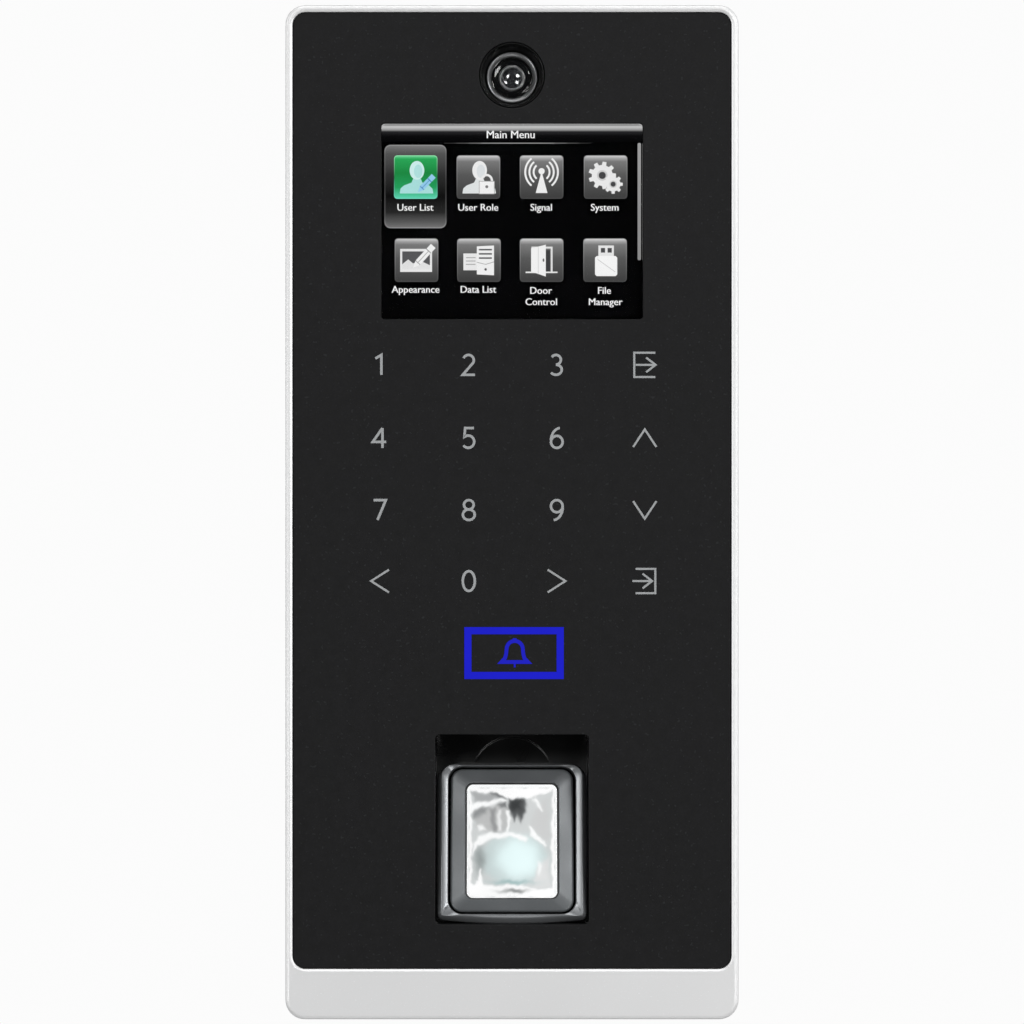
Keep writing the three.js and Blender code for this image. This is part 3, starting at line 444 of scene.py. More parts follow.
def arc(x, z, radius_x, radius_z, start, end, steps=14):
    """Points on an ellipse from one angle to another, in degrees."""
    return [
        (x + radius_x * math.cos(math.radians(start + (end - start) * k / steps)),
         z + radius_z * math.sin(math.radians(start + (end - start) * k / steps)))
        for k in range(steps + 1)
    ]


def bends(face, eased, most):
    """Whether a face is part of a curved stretch: it meets another, not one of the eased edges, at a
    slight angle."""
    beside = [other for edge in face.edges for other in edge.link_faces if other is not face
              and other not in eased]
    return any(0.01 < face.normal.angle(other.normal, 0) < most for other in beside)


def refine(node, look, edge=0.2, angle=30):
    """A CAD node's own shape with its flat faces made whole and its sharp edges rounded."""
    mesh = frame["nodes"][node].data.copy()
    mesh.name = "fine_" + node
    for name in [attribute.name for attribute in mesh.attributes if attribute.name == "custom_normal"]:
        mesh.attributes.remove(mesh.attributes[name])
    made = bmesh.new()
    made.from_mesh(mesh)
    bmesh.ops.remove_doubles(made, verts=made.verts, dist=2e-6)
    bmesh.ops.dissolve_limit(made, angle_limit=math.radians(0.6), verts=made.verts, edges=made.edges)
    eased = set()
    if edge:
        sharp = [e for e in made.edges if len(e.link_faces) == 2
                 and e.calc_face_angle(0) > math.radians(angle)]
        eased = set(bmesh.ops.bevel(made, geom=sharp, offset=edge * MM, segments=2, profile=0.5,
                                    affect="EDGES", clamp_overlap=True)["faces"])
    made.normal_update()
    curved = [face in eased or bends(face, eased, math.radians(angle)) for face in made.faces]
    made.to_mesh(mesh)
    made.free()
    body = frame["nodes"][node]["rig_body"]
    piece = finish_piece("fine_" + node, mesh, look, body=body, cad=(node,), weight=100)
    for face, smooth in zip(mesh.polygons, curved):
        face.use_smooth = smooth
    return piece


# ---------------------------------------------------------------- front housing
CASE_LOW, CASE_HIGH = box_mm("front_housing")
PANEL_LOW, PANEL_HIGH = box_mm("front_panel")
CASE_WIDTH = CASE_HIGH.x - CASE_LOW.x
CASE_HEIGHT = CASE_HIGH.z - CASE_LOW.z
PANEL_WIDTH = PANEL_HIGH.x - PANEL_LOW.x
PANEL_HEIGHT = PANEL_HIGH.z - PANEL_LOW.z
PANEL_Z = (PANEL_HIGH.z + PANEL_LOW.z) / 2
FACE = PANEL_LOW.y  # the panel's front
CASE_RADIUS = 3.6
PANEL_RADIUS = 2.3
WALL = 2.0
LEDGE = 3.4
SLOTS, SLOT_PITCH, SLOT_WIDE, SLOT_LONG, SLOT_RADIUS = 8, 2.9, 1.3, 9, 0.64  # in front of the speaker


def case_ring(inset, y):
    return [(x, y, z) for x, z in rounded(CASE_WIDTH - 2 * inset, CASE_HEIGHT - 2 * inset,
                                          CASE_RADIUS - 0.8 * inset)]


def pocket_ring(inset, y):
    outline = rounded(PANEL_WIDTH - 2 * inset, PANEL_HEIGHT - 2 * inset, max(PANEL_RADIUS - inset, 0.4),
                      0, PANEL_Z)
    return [(x, y, z) for x, z in outline]


def front_housing():
    front, back = CASE_LOW.y, CASE_HIGH.y
    ledge_front, ledge_back = PANEL_HIGH.y + 0.5, PANEL_HIGH.y + 2.0
    rings = [case_ring(WALL, back), case_ring(0.25, back), case_ring(0.0, back - 0.25)]
    rings += [case_ring(inset, front + depth) for inset, depth in fillet(0.0, 0.0, 0.8, 7)]
    rings += [pocket_ring(-0.6, front), pocket_ring(-0.5, front + 0.03), pocket_ring(-0.22, front + 0.28)]
    rings += [pocket_ring(-0.15, front + 0.38)]
    rings += [pocket_ring(-0.15, ledge_front), pocket_ring(LEDGE, ledge_front),
              pocket_ring(LEDGE, ledge_back)]
    rings += [case_ring(WALL, ledge_back)]
    housing = finish_piece("housing_shell", loft(rings), "silver_plastic", cad=("front_housing",))
    # the speaker slots through the lower wall, each with an eased mouth
    points, faces = [], []
    speaker_low, speaker_high = box_mm("speaker")
    middle_x, middle_y = (speaker_low.x + speaker_high.x) / 2, (speaker_low.y + speaker_high.y) / 2
    levels = ((0.22, -1.0), (0.22, 0.0), (0.06, 0.1), (0.0, 0.26), (0.0, WALL + 1.0))
    for k in range(SLOTS):
        start, steps = len(points), 4
        count = 4 * (steps + 1)
        along = middle_x + (k - (SLOTS - 1) / 2) * SLOT_PITCH
        for grow, up in levels:
            outline = rounded(
                SLOT_WIDE + 2 * grow, SLOT_LONG + 2 * grow, SLOT_RADIUS + grow, along, middle_y, steps)
            points += [(px, py, CASE_LOW.z + up) for px, py in outline]
        faces.append(tuple(start + i for i in reversed(range(count))))
        faces.append(tuple(start + (len(levels) - 1) * count + i for i in range(count)))
        for row in range(len(levels) - 1):
            low = start + row * count
            faces += [(low + i, low + (i + 1) % count, low + count + (i + 1) % count, low + count + i)
                      for i in range(count)]
    cutter = bpy.data.objects.new("slot_cutter", mesh_of(points, faces))
    bpy.context.scene.collection.objects.link(cutter)
    drill = housing.modifiers.new("slots", "BOOLEAN")
    drill.operation, drill.solver, drill.object = "DIFFERENCE", "EXACT", cutter
    housing.modifiers.remove(housing.modifiers["steady_normals"])
    bpy.context.view_layer.update()
    cut = bpy.data.meshes.new_from_object(housing.evaluated_get(bpy.context.evaluated_depsgraph_get()))
    housing.modifiers.clear()
    housing.data = cut
    for face in cut.polygons:
        face.use_smooth = True
    cut.set_sharp_from_angle(angle=math.radians(34))
    housing.modifiers.new("steady_normals", "WEIGHTED_NORMAL").keep_sharp = True
    bpy.data.objects.remove(cutter)


front_housing()

# ---------------------------------------------------------------- front panel and display window
WINDOW_LOW, WINDOW_HIGH = box_mm("lcd_window")
SCREEN = (WINDOW_HIGH.x - WINDOW_LOW.x + 0.24, WINDOW_HIGH.z - WINDOW_LOW.z + 0.24)
SCREEN_Z = (WINDOW_HIGH.z + WINDOW_LOW.z) / 2
TUB_LOW, TUB_HIGH = box_mm("sensor_surround")
RECESS_SIZE = (TUB_HIGH.x - TUB_LOW.x - 3.4, TUB_HIGH.z - TUB_LOW.z - 3.4)
RECESS_Z = (TUB_HIGH.z + TUB_LOW.z) / 2
CAMERA_LOW, CAMERA_HIGH = box_mm("camera_barrel")
CAMERA_Z = (CAMERA_LOW.z + CAMERA_HIGH.z) / 2

panel_mesh = plate(
    rounded(PANEL_WIDTH, PANEL_HEIGHT, PANEL_RADIUS, 0, PANEL_Z),
    [
        rounded(*SCREEN, 0.7, 0, SCREEN_Z, 5),
        rounded(*RECESS_SIZE, 0.9, 0, RECESS_Z, 5),
        circle(6.12, 0, CAMERA_Z),
    ],
    FACE, PANEL_HIGH.y, 0.18,
)
finish_piece("panel_skin", panel_mesh, "panel_black", cad=("front_panel",))
window_mesh = plate(rounded(SCREEN[0] - 0.16, SCREEN[1] - 0.16, 0.62, 0, SCREEN_Z, 5), [],
                    FACE, PANEL_HIGH.y, 0.1)
finish_piece("display_cover", window_mesh, "cover_glass", cad=("lcd_window",))

# ---------------------------------------------------------------- what the display shows
SCREEN_LEFT = -24.15
SCREEN_TOP = SCREEN_Z + 18.15
SCREEN_FACE = box_mm("lcd_panel")[0].y
WHITE = 240


class Drawing:
    """Flat shapes in layers on the display, each with its own colour; later ones lie in front."""

    STEP = 0.0015  # from one layer to the next
    THICK = 0.01

    def __init__(self):
        self.points, self.faces, self.tones, self.depth = [], [], [], SCREEN_FACE - 0.03

    def shape(self, outline, colour):
        """outline: (right, down) points in millimetres from the display's top left corner."""
        self.depth -= self.STEP
        before = len(self.faces)
        corners = [(SCREEN_LEFT + right, SCREEN_TOP - down) for right, down in outline]
        prism_faces(self.points, self.faces, corners, self.depth, self.depth + self.THICK)
        for face in self.faces[before:]:
            self.tones += [linear(colour)] * len(face)

    def line(self, path, width, colour, closed=False):
        self.depth -= self.STEP
        before = len(self.faces)
        corners = [(SCREEN_LEFT + right, SCREEN_TOP - down) for right, down in path]
        pen(self.points, self.faces, corners, width, self.depth, self.depth + self.THICK, closed)
        for face in self.faces[before:]:
            self.tones += [linear(colour)] * len(face)

    def shaded(self, left, top, width, height, radius, stops):
        """A rounded tile whose colour changes down its height: stops are (share of the height, colour)."""
        self.depth -= self.STEP
        levels = {0.0, 1.0, *(share for share, _ in stops)}
        if radius:
            for k in range(7):
                bend = radius / height * (1 - math.cos(math.radians(90 * k / 6)))
                levels |= {bend, 1 - bend}
        levels = sorted(levels)

        def tone(share):
            for (a, first), (b, second) in zip(stops, stops[1:]):
                if share <= b:
                    t = 0 if b == a else (share - a) / (b - a)
                    pairs = zip(channels(first), channels(second))
                    return linear(tuple(f + (s - f) * t for f, s in pairs))
            return linear(stops[-1][1])

        start = len(self.points)
        for y in (self.depth, self.depth + self.THICK):
            for share in levels:
                down = share * height
                near = min(down, height - down)
                short = max(0.0, radius - near)
                pull = radius - math.sqrt(max(0.0, radius**2 - short**2)) if near < radius else 0.0
                for right in (left + pull, left + width - pull):
                    self.points.append((SCREEN_LEFT + right, y, SCREEN_TOP - top - down))
        rows = len(levels)
        for k in range(rows - 1):
            a, b = start + 2 * k, start + 2 * k + 2
            deep = 2 * rows
            upper, lower = tone(levels[k]), tone(levels[k + 1])
            for face, tones in (
                ((a, a + 1, b + 1, b), (upper, upper, lower, lower)),
                ((a + deep, b + deep, b + 1 + deep, a + 1 + deep), (upper, lower, lower, upper)),
                ((a, b, b + deep, a + deep), (upper, lower, lower, upper)),
                ((a + 1, a + 1 + deep, b + 1 + deep, b + 1), (upper, upper, lower, lower)),
            ):
                self.faces.append(face)
                self.tones += tones

    def words(self, text, right, down, size, colour=WHITE):
        """A word, centred on a point."""
        self.depth -= self.STEP
        weight = 0.03  # the letter is drawn twice, this far to each side
        letters = bpy.data.curves.new("letters", "FONT")
        letters.body = text
        letters.size = size
        letters.align_x, letters.align_y = "CENTER", "CENTER"
        letters.extrude = 0.005
        letters.resolution_u = 3
        holder = bpy.data.objects.new("letters", letters)
        bpy.context.scene.collection.objects.link(holder)
        bpy.context.view_layer.update()
        mesh = bpy.data.meshes.new_from_object(holder.evaluated_get(bpy.context.evaluated_depsgraph_get()))
        for shift in (-weight, weight):
            self.depth -= self.STEP
            start = len(self.points)
            for vertex in mesh.vertices:
                x, z, y = vertex.co
                self.points.append((SCREEN_LEFT + right + shift + x, self.depth - y, SCREEN_TOP - down + z))
            for face in mesh.polygons:
                self.faces.append(tuple(start + k for k in face.vertices))
                self.tones += [linear(colour)] * len(face.vertices)
        bpy.data.objects.remove(holder)
        bpy.data.curves.remove(letters)
        bpy.data.meshes.remove(mesh)

    def finish(self, name, look):
        mesh = bpy.data.meshes.new(name)
        mesh.from_pydata([tuple(c * MM for c in point) for point in self.points], [], self.faces)
        paint(mesh, self.tones)
        mesh.materials.append(LOOK[look])
        piece = bpy.data.objects.new(name, mesh)
        bpy.context.scene.collection.objects.link(piece)
        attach(piece, "terminal")


def ellipse(x, z, radius_x, radius_z=None, sides=28):
    return arc(x, z, radius_x, radius_z or radius_x, 0, 360 * (sides - 1) / sides, sides - 1)


def oblong(left, top, right, bottom):
    return [(left, top), (right, top), (right, bottom), (left, bottom)]


class Tile:
    """One menu tile. Its picture is drawn in shares of the tile's side, right and down from its top left
    corner."""

    SIDE = 7.8

    def __init__(self, drawing, left, top, stops, edge):
        self.drawing, self.left, self.top = drawing, left, top
        drawing.shaded(left - 0.14, top - 0.14, self.SIDE + 0.28, self.SIDE + 0.28, 0.62, edge)
        drawing.shaded(left, top, self.SIDE, self.SIDE, 0.5, stops)

    def at(self, outline):
        return [(self.left + u * self.SIDE, self.top + v * self.SIDE) for u, v in outline]

    def shape(self, outline, colour=WHITE):
        self.drawing.shape(self.at(outline), colour)

    def line(self, path, width, colour=WHITE, closed=False):
        self.drawing.line(self.at(path), width * self.SIDE, colour, closed)

    def person(self, body=(226, 230, 230), face=WHITE, shade=(222, 226, 228)):
        self.shape([(0.12, 0.89), (0.14, 0.77), (0.22, 0.70), (0.40, 0.63), (0.44, 0.54), (0.62, 0.54),
                    (0.66, 0.63), (0.82, 0.70), (0.90, 0.78), (0.92, 0.89)], body)
        self.shape(ellipse(0.53, 0.34, 0.175, 0.225), face)
        self.shape(ellipse(0.56, 0.36, 0.10, 0.16), shade)

    def pencil(self, start, end, width, colour, shade):
        (u0, v0), (u1, v1) = start, end
        along = Vector((u1 - u0, v1 - v0)).normalized()
        across = Vector((-along.y, along.x)) * width / 2
        tip, neck, tail = Vector(start), Vector(start) + along * width * 1.1, Vector(end)
        self.shape([tuple(tip), tuple(neck + across), tuple(tail + across), tuple(tail - across),
                    tuple(neck - across)], colour)
        band = tail - along * width * 1.1
        self.line([tuple(band + across), tuple(band - across)], 0.022, shade)
        self.line([tuple(neck + across), tuple(neck - across)], 0.018, shade)
        self.line([tuple(neck), tuple(band)], 0.014, shade)

    def gear(self, u, v, radius, teeth, hole):
        outline = []
        for k in range(teeth):
            for part, reach in ((-0.30, 0.76), (-0.20, 1.0), (0.20, 1.0), (0.30, 0.76)):
                turn = 2 * math.pi * (k + part) / teeth
                outline.append((u + radius * reach * math.cos(turn), v + radius * reach * math.sin(turn)))
        self.shape(outline, 236)
        self.shape(ellipse(u, v, hole * 1.5), 206)
        self.shape(ellipse(u, v, hole), (70, 70, 72))


def menu_screen():
    screen = Drawing()
    screen.shaded(0, 0, 48.3, 1.25, 0.0, [(0, 90), (0.3, 200), (0.7, 160),
                                          (1.0, 78)])
    screen.shaded(0, 1.25, 48.3, 2.0, 0.0, [(0, (40, 40, 42)), (0.4, (12, 12, 13)), (1.0, (4, 4, 5))])
    screen.words("Main Menu", 23.9, 1.9, 2.05)
    # the line under the title fades towards its ends
    pieces = 12
    for k in range(pieces):
        left = 11.5 + 27.4 * k / pieces
        share = 1 - abs((k + 0.5) / pieces * 2 - 1)
        level = int(30 + 120 * min(1.0, 1.6 * share))
        screen.shape([(left, 3.36), (left + 27.4 / pieces, 3.36), (left + 27.4 / pieces, 3.52),
                      (left, 3.52)], level)
    screen.shaded(0.42, 3.75, 11.55, 15.5, 1.15, [(0, 150), (0.12, 104), (0.5, 58),
                                                  (0.86, 84), (1.0, 150)])
    screen.shaded(0.62, 3.94, 11.15, 15.12, 0.98, [(0, 120), (0.1, 84), (0.35, 46),
                                                   (0.62, 14), (0.82, 40), (1.0, 116)])
    screen.shaded(47.5, 3.4, 0.62, 21.8, 0.25, [(0, 158), (1.0, 140)])

    green = [(0, (110, 214, 150)), (0.07, (44, 166, 88)), (0.4, (30, 136, 66)), (0.75, (38, 158, 92)),
             (1.0, (96, 214, 180))]
    grey = [(0, 214), (0.05, 168), (0.13, 122), (0.45, 90),
            (1.0, 64)]
    green_edge = [(0, (150, 232, 176)), (0.5, (40, 110, 70)), (1.0, (120, 226, 200))]
    grey_edge = [(0, 160), (1.0, 76)]
    upper, lower = 5.85, 21.3

    tile = Tile(screen, 2.35, upper, green, green_edge)
    tile.person((170, 224, 222), (206, 240, 238), (178, 226, 224))
    tile.pencil((0.55, 0.86), (0.93, 0.47), 0.13, (150, 206, 236), (70, 130, 190))

    tile = Tile(screen, 14.0, upper, grey, grey_edge)
    tile.person()
    tile.line(arc(0.70, 0.60, 0.125, 0.15, 180, 360), 0.055, 236)
    tile.shape(oblong(0.52, 0.60, 0.88, 0.90), 244)
    tile.line(oblong(0.52, 0.60, 0.88, 0.90), 0.016, 170, closed=True)
    tile.shape(ellipse(0.70, 0.73, 0.035), 120)

    tile = Tile(screen, 25.75, upper, grey, grey_edge)
    for radius in (0.19, 0.29, 0.39):
        for facing in (0, 180):
            tile.line(arc(0.5, 0.38, radius, radius * 1.05, facing - 52, facing + 52), 0.045)
    tile.shape([(0.5, 0.36), (0.64, 0.88), (0.36, 0.88)])
    tile.shape(ellipse(0.5, 0.36, 0.075), WHITE)

    tile = Tile(screen, 37.65, upper, grey, grey_edge)
    tile.gear(0.42, 0.46, 0.33, 9, 0.085)
    tile.gear(0.68, 0.67, 0.23, 8, 0.06)

    tile = Tile(screen, 2.5, lower, grey, grey_edge)
    tile.shape(oblong(0.11, 0.23, 0.87, 0.78), 232)
    tile.shape(oblong(0.16, 0.29, 0.82, 0.70), (88, 88, 90))
    tile.shape([(0.16, 0.71), (0.16, 0.60), (0.30, 0.48), (0.42, 0.58), (0.56, 0.50), (0.82, 0.62),
                (0.82, 0.71)], 226)
    tile.pencil((0.42, 0.68), (0.90, 0.16), 0.15, 240, 150)

    tile = Tile(screen, 14.1, lower, grey, grey_edge)
    tile.shape(oblong(0.13, 0.34, 0.58, 0.74), 236)
    for v in (0.44, 0.52, 0.60):
        tile.line([(0.19, v), (0.42, v)], 0.022, 168)
    tile.shape([(0.45, 0.17), (0.86, 0.15), (0.86, 0.86), (0.45, 0.84)], 244)
    for v in (0.25, 0.35, 0.45):
        tile.line([(0.50, v), (0.81, v)], 0.036, (84, 84, 86))
    tile.line([(0.45, 0.55), (0.66, 0.60), (0.86, 0.54)], 0.018, 176)
    tile.shape(ellipse(0.66, 0.72, 0.03), (90, 90, 92))

    tile = Tile(screen, 25.75, lower, grey, grey_edge)
    tile.line([(0.12, 0.79), (0.88, 0.79)], 0.035, 232)
    tile.line([(0.28, 0.79), (0.28, 0.20), (0.74, 0.20), (0.74, 0.79)], 0.045, 226)
    tile.shape(oblong(0.60, 0.26, 0.70, 0.77), (64, 64, 66))
    tile.shape([(0.25, 0.22), (0.60, 0.13), (0.60, 0.89), (0.25, 0.77)], 242)
    tile.line([(0.42, 0.19), (0.42, 0.82)], 0.012, 196)
    tile.shape(ellipse(0.545, 0.50, 0.022, 0.04), 110)

    tile = Tile(screen, 37.55, lower, grey, grey_edge)
    tile.shape(oblong(0.34, 0.15, 0.71, 0.42), 228)
    for u in (0.40, 0.56):
        tile.shape([(u, 0.21), (u + 0.10, 0.21), (u + 0.10, 0.32), (u, 0.32)], (74, 74, 76))
    tile.shape([(0.30, 0.40), (0.75, 0.40), (0.79, 0.44), (0.79, 0.84), (0.75, 0.88), (0.30, 0.88),
                (0.26, 0.84), (0.26, 0.44)], 244)
    tile.line([(0.32, 0.48), (0.74, 0.78)], 0.014, 188)

    for text, right, down in (("User List", 6.15, 15.45), ("User Role", 17.85, 15.45),
                              ("Signal", 29.6, 15.45), ("System", 41.4, 15.45),
                              ("Appearance", 6.25, 30.7), ("Data List", 17.85, 30.7),
                              ("Door", 29.5, 30.9), ("Control", 29.6, 33.0), ("File", 41.3, 30.9),
                              ("Manager", 41.5, 33.0)):
        screen.words(text, right, down, 1.85)
    screen.finish("menu_picture", "screen")


menu_screen()

# ---------------------------------------------------------------- printed keys and the lit bell key
INK_FRONT, INK_BACK = FACE - 0.03, FACE + 0.05
KEY_COLUMNS = (-24.5, -8.0, 8.3, 24.6)
KEY_ROWS = (27.3, 13.75, 0.4, -12.75)
FINE, BOLD = 0.38, 0.47


def digit(number):
    """Pen paths for a digit, about its centre: (points, closed)."""
    oval = lambda x, z, a, b: (ellipse(x, z, a, b), True)
    return {"0": [oval(0, 0, 1.12, 1.84)], "1": [([(-0.8, 1.18), (0.3, 1.84), (0.3, -1.84)], False)],
            "2": [(arc(-0.06, 0.86, 0.98, 0.98, 158, -28, 16) + [(-1.12, -1.84), (1.14, -1.84)], False)],
            "3": [(arc(-0.16, 0.94, 0.92, 0.90, 146, -90, 14), False),
                  (arc(-0.16, -0.9, 1.08, 0.94, 90, -146, 16), False)],
            "4": [([(0.5, -1.84), (0.5, 1.84)], False), ([(0.5, 1.84), (-1.3, -0.72), (1.2, -0.72)],
                                                         False)],
            "5": [([(0.95, 1.84), (-0.68, 1.84), (-0.82, 0.22)]
                   + arc(-0.12, -0.68, 1.12, 1.14, 118, -142, 16), False)],
            "6": [oval(0, -0.72, 1.08, 1.12), (arc(0.62, -0.62, 1.72, 2.46, 92, 176, 12), False)],
            "7": [([(-1.14, 1.84), (1.12, 1.84), (-0.42, -1.84)], False)],
            "8": [oval(0, 0.98, 0.9, 0.86), oval(0, -0.86, 1.1, 0.98)],
            "9": [oval(0, 0.72, 1.08, 1.12), (arc(-0.62, 0.62, 1.72, 2.46, -88, -4, 12), False)]}[number]


ARROW = [(0.25, 1.35), (2.0, 0.0), (0.25, -1.35)]
SIGNS = {
    "exit": [[(1.95, 2.25), (-1.95, 2.25), (-1.95, -2.25), (1.95, -2.25)], [(-1.7, 0), (1.8, 0)], ARROW],
    "enter": [[(-1.7, 2.25), (1.95, 2.25), (1.95, -2.25), (-1.7, -2.25)], [(-2.3, 0), (1.2, 0)],
              [(x - 0.65, z) for x, z in ARROW]],
    "up": [[(-2.15, -1.65), (0, 1.6), (2.15, -1.65)]],
    "down": [[(-2.15, 1.65), (0, -1.6), (2.15, 1.65)]],
    "left": [[(1.7, 2.1), (-1.6, 0), (1.7, -2.1)]],
    "right": [[(-1.7, 2.1), (1.6, 0), (-1.7, -2.1)]],
}
KEYS = (("1", "2", "3", "exit"), ("4", "5", "6", "up"), ("7", "8", "9", "down"),
        ("left", "0", "right", "enter"))


def printed_keys():
    for z, row in zip(KEY_ROWS, KEYS):
        for x, key in zip(KEY_COLUMNS, row):
            points, faces = [], []
            sign = [(path, False) for path in SIGNS[key]] if key in SIGNS else digit(key)
            width = FINE if key in SIGNS else BOLD
            for layer, (path, closed) in enumerate(sign):
                moved = [(x + px, z + pz) for px, pz in path]
                pen(points, faces, moved, width, INK_FRONT - 0.004 * layer, INK_BACK, closed)
            name = f"key_{key}"
            finish_piece(name, mesh_of(points, faces), "legend")


printed_keys()

GUIDE_LOW, GUIDE_HIGH = box_mm("bell_light_guide")
BELL_X, BELL_Z = 0.5 * (GUIDE_LOW.x + GUIDE_HIGH.x) + 0.4, 0.5 * (GUIDE_LOW.z + GUIDE_HIGH.z)


def blue_piece(name, points, faces, colour):
    mesh = mesh_of(points, faces)
    paint(mesh, [linear(colour)] * len(mesh.loops))
    finish_piece(name, mesh, "blue_light")


def bell_key():
    points, faces = [], []
    frame_path = [(x + BELL_X - 0.02, z + BELL_Z) for x, z in ((8.55, 4.15), (-8.55, 4.15),
                                                               (-8.55, -4.15), (8.55, -4.15))]
    pen(points, faces, frame_path, 1.32, INK_FRONT, INK_BACK, closed=True)
    blue_piece("bell_frame", points, faces, (33, 36, 205))
    points, faces = [], []
    x, z = BELL_X + 0.1, BELL_Z + 0.3
    side = [(-2.45, -1.95), (-1.8, -1.25), (-1.6, -0.5), (-1.5, 0.45)]
    dome = arc(0, 0.45, 1.5, 1.5, 180, 0, 16)
    outline = side + dome[1:-1] + [(-px, pz) for px, pz in reversed(side)]
    pen(points, faces, [(x + px, z + pz) for px, pz in outline], 0.7, INK_FRONT, INK_BACK, closed=True)
    pen(points, faces, [(x, z + 1.95), (x, z + 2.45)], 0.7, INK_FRONT - 0.004, INK_BACK)
    pen(points, faces, [(x, z - 1.95), (x, z - 2.95)], 0.36, INK_FRONT - 0.004, INK_BACK)
    blue_piece("bell_sign", points, faces, (36, 38, 196))


bell_key()


# ---------------------------------------------------------------- camera
def camera():
    mouth, lip = FACE + 0.1, CAMERA_LOW.y
    back = box_mm("camera_ring")[1].y
    funnel = [(5.95, mouth + 0.9), (6.0, mouth + 0.1), (5.95, mouth + 0.02), (5.86, mouth),
              (5.72, mouth + 0.14), (5.45, mouth + 1.1), (5.04, lip - 0.4), (4.9, lip + 0.1),
              (4.88, back - 0.05), (5.25, back - 0.05), (5.25, mouth + 2.6), (5.95, mouth + 2.3)]
    finish_piece("camera_funnel", turned(funnel, 0, CAMERA_Z, 128), "ring_black",
                 cad=("camera_ring",), angle=50)
    rear = CAMERA_HIGH.y
    lip_profile = [(4.8, rear - 0.1), (4.8, lip + 0.4), (4.77, lip + 0.18), (4.7, lip + 0.05), (4.6, lip),
                   (4.5, lip + 0.02), (4.38, lip + 0.08), (4.24, lip + 0.16), (4.1, lip + 0.26),
                   (3.98, lip + 0.37), (3.9, lip + 0.5), (3.86, lip + 0.7), (3.86, rear - 0.1)]
    finish_piece("camera_lip", turned(lip_profile, 0, CAMERA_Z, 128), "camera_metal",
                 cad=("camera_barrel",), angle=50)
    # a shallow domed window, seated behind the lip
    bulge, edge = 16.5, 3.7
    low = bulge - math.sqrt(bulge**2 - edge**2)
    crown = [(edge * k / 8, lip + 0.58 - low + bulge - math.sqrt(bulge**2 - (edge * k / 8) ** 2))
             for k in range(9)]
    glass = [*crown, (3.78, lip + 0.66), (3.78, lip + 0.92), (0, lip + 0.92)]
    finish_piece("camera_glass", turned(glass, 0, CAMERA_Z, 128), "coated_glass",
                 cad=("camera_window",))
    baffle = [(3.84, lip + 0.98), (3.5, lip + 1.0), (3.42, lip + 1.2), (3.0, lip + 1.24), (2.92, lip + 1.5),
              (2.4, lip + 1.54), (2.4, lip + 2.9), (3.84, lip + 2.9)]
    finish_piece("camera_baffle", turned(baffle, 0, CAMERA_Z, 96), "baffle_black",
                 angle=50)
    rim = [(2.38, lip + 3.0), (2.38, lip + 1.3), (2.35, lip + 1.16), (2.26, lip + 1.07),
           (2.14, lip + 1.04), (2.02, lip + 1.06), (1.91, lip + 1.14), (1.85, lip + 1.26),
           (1.83, lip + 1.45), (1.83, lip + 3.0)]
    finish_piece("lens_rim", turned(rim, 0, CAMERA_Z, 96), "rim_metal", angle=50)
    curve, reach = 3.4, 1.81
    widest = math.asin(reach / curve)
    dome = [(curve * math.sin(widest * k / 11), lip + 1.16 + curve * (1 - math.cos(widest * k / 11)))
            for k in range(12)]
    finish_piece("lens_dome", turned([*dome, (reach, lip + 2.6), (0, lip + 2.6)], 0, CAMERA_Z, 96),
                 "lens_dark", cad=("camera_lens",), angle=60)


camera()

# ---------------------------------------------------------------- fingerprint sensor
TILT = math.radians(14)
PRISM_LOW, PRISM_HIGH = box_mm("sensor_prism")
FULL_HALF = 10.9  # half the height of the prism's face
GLASS_WIDE, GLASS_HIGH, GLASS_Z = PRISM_HIGH.x - PRISM_LOW.x - 0.2, 21.3, -0.5
MODULE_WIDE, MODULE_HIGH, MODULE_Z = 22.9, 26.8, -0.3
SENSOR_AT = Vector((
    0,
    PRISM_LOW.y - 0.1 * math.cos(TILT) + FULL_HALF * math.sin(TILT),
    PRISM_HIGH.z - FULL_HALF * math.cos(TILT) + 0.1 * math.sin(TILT),
))


def tilt(mesh):
    """Turns a mesh made square to the axes into the sensor's tilted place."""
    mesh.transform(Matrix.Translation(SENSOR_AT * MM) @ Matrix.Rotation(-TILT, 4, "X"))
    return mesh


def bezel_ring(side, foot, depth, drop, steps=9, along=11):
    """One ring of the bar around the sensor. Its upper corners are round and its lower edge bows down.
    side draws in the sides and, less, the top; foot, from 0 to 1, straightens the lower edge, which lies
    drop deeper."""
    half, top, low, bow = 13.9 - side, 14.12 - 0.4 * side, -15.05 + 0.55 * foot, 0.9 * (1 - foot)
    upper, under = max(2.9 - side, 0.3), max(1.0 - 0.6 * side, 0.3)
    points = []
    for x, z, radius, start in ((half - upper, top - upper, upper, 0),
                                (upper - half, top - upper, upper, 90)):
        points += [(px, depth, pz) for px, pz in arc(x, z, radius, radius, start, start + 90, steps)]
    left = arc(under - half, low + under, under, under, 180, 270, steps)
    points += [(px, depth + drop * k / steps, pz) for k, (px, pz) in enumerate(left)]
    for k in range(1, along):
        share = k / along
        sag = low - bow * math.sin(math.pi * share)
        points.append(((under - half) * (1 - 2 * share), depth + drop, sag))
    right = arc(half - under, low + under, under, under, 270, 360, steps)
    return points + [(px, depth + drop * (1 - k / steps), pz) for k, (px, pz) in enumerate(right)]


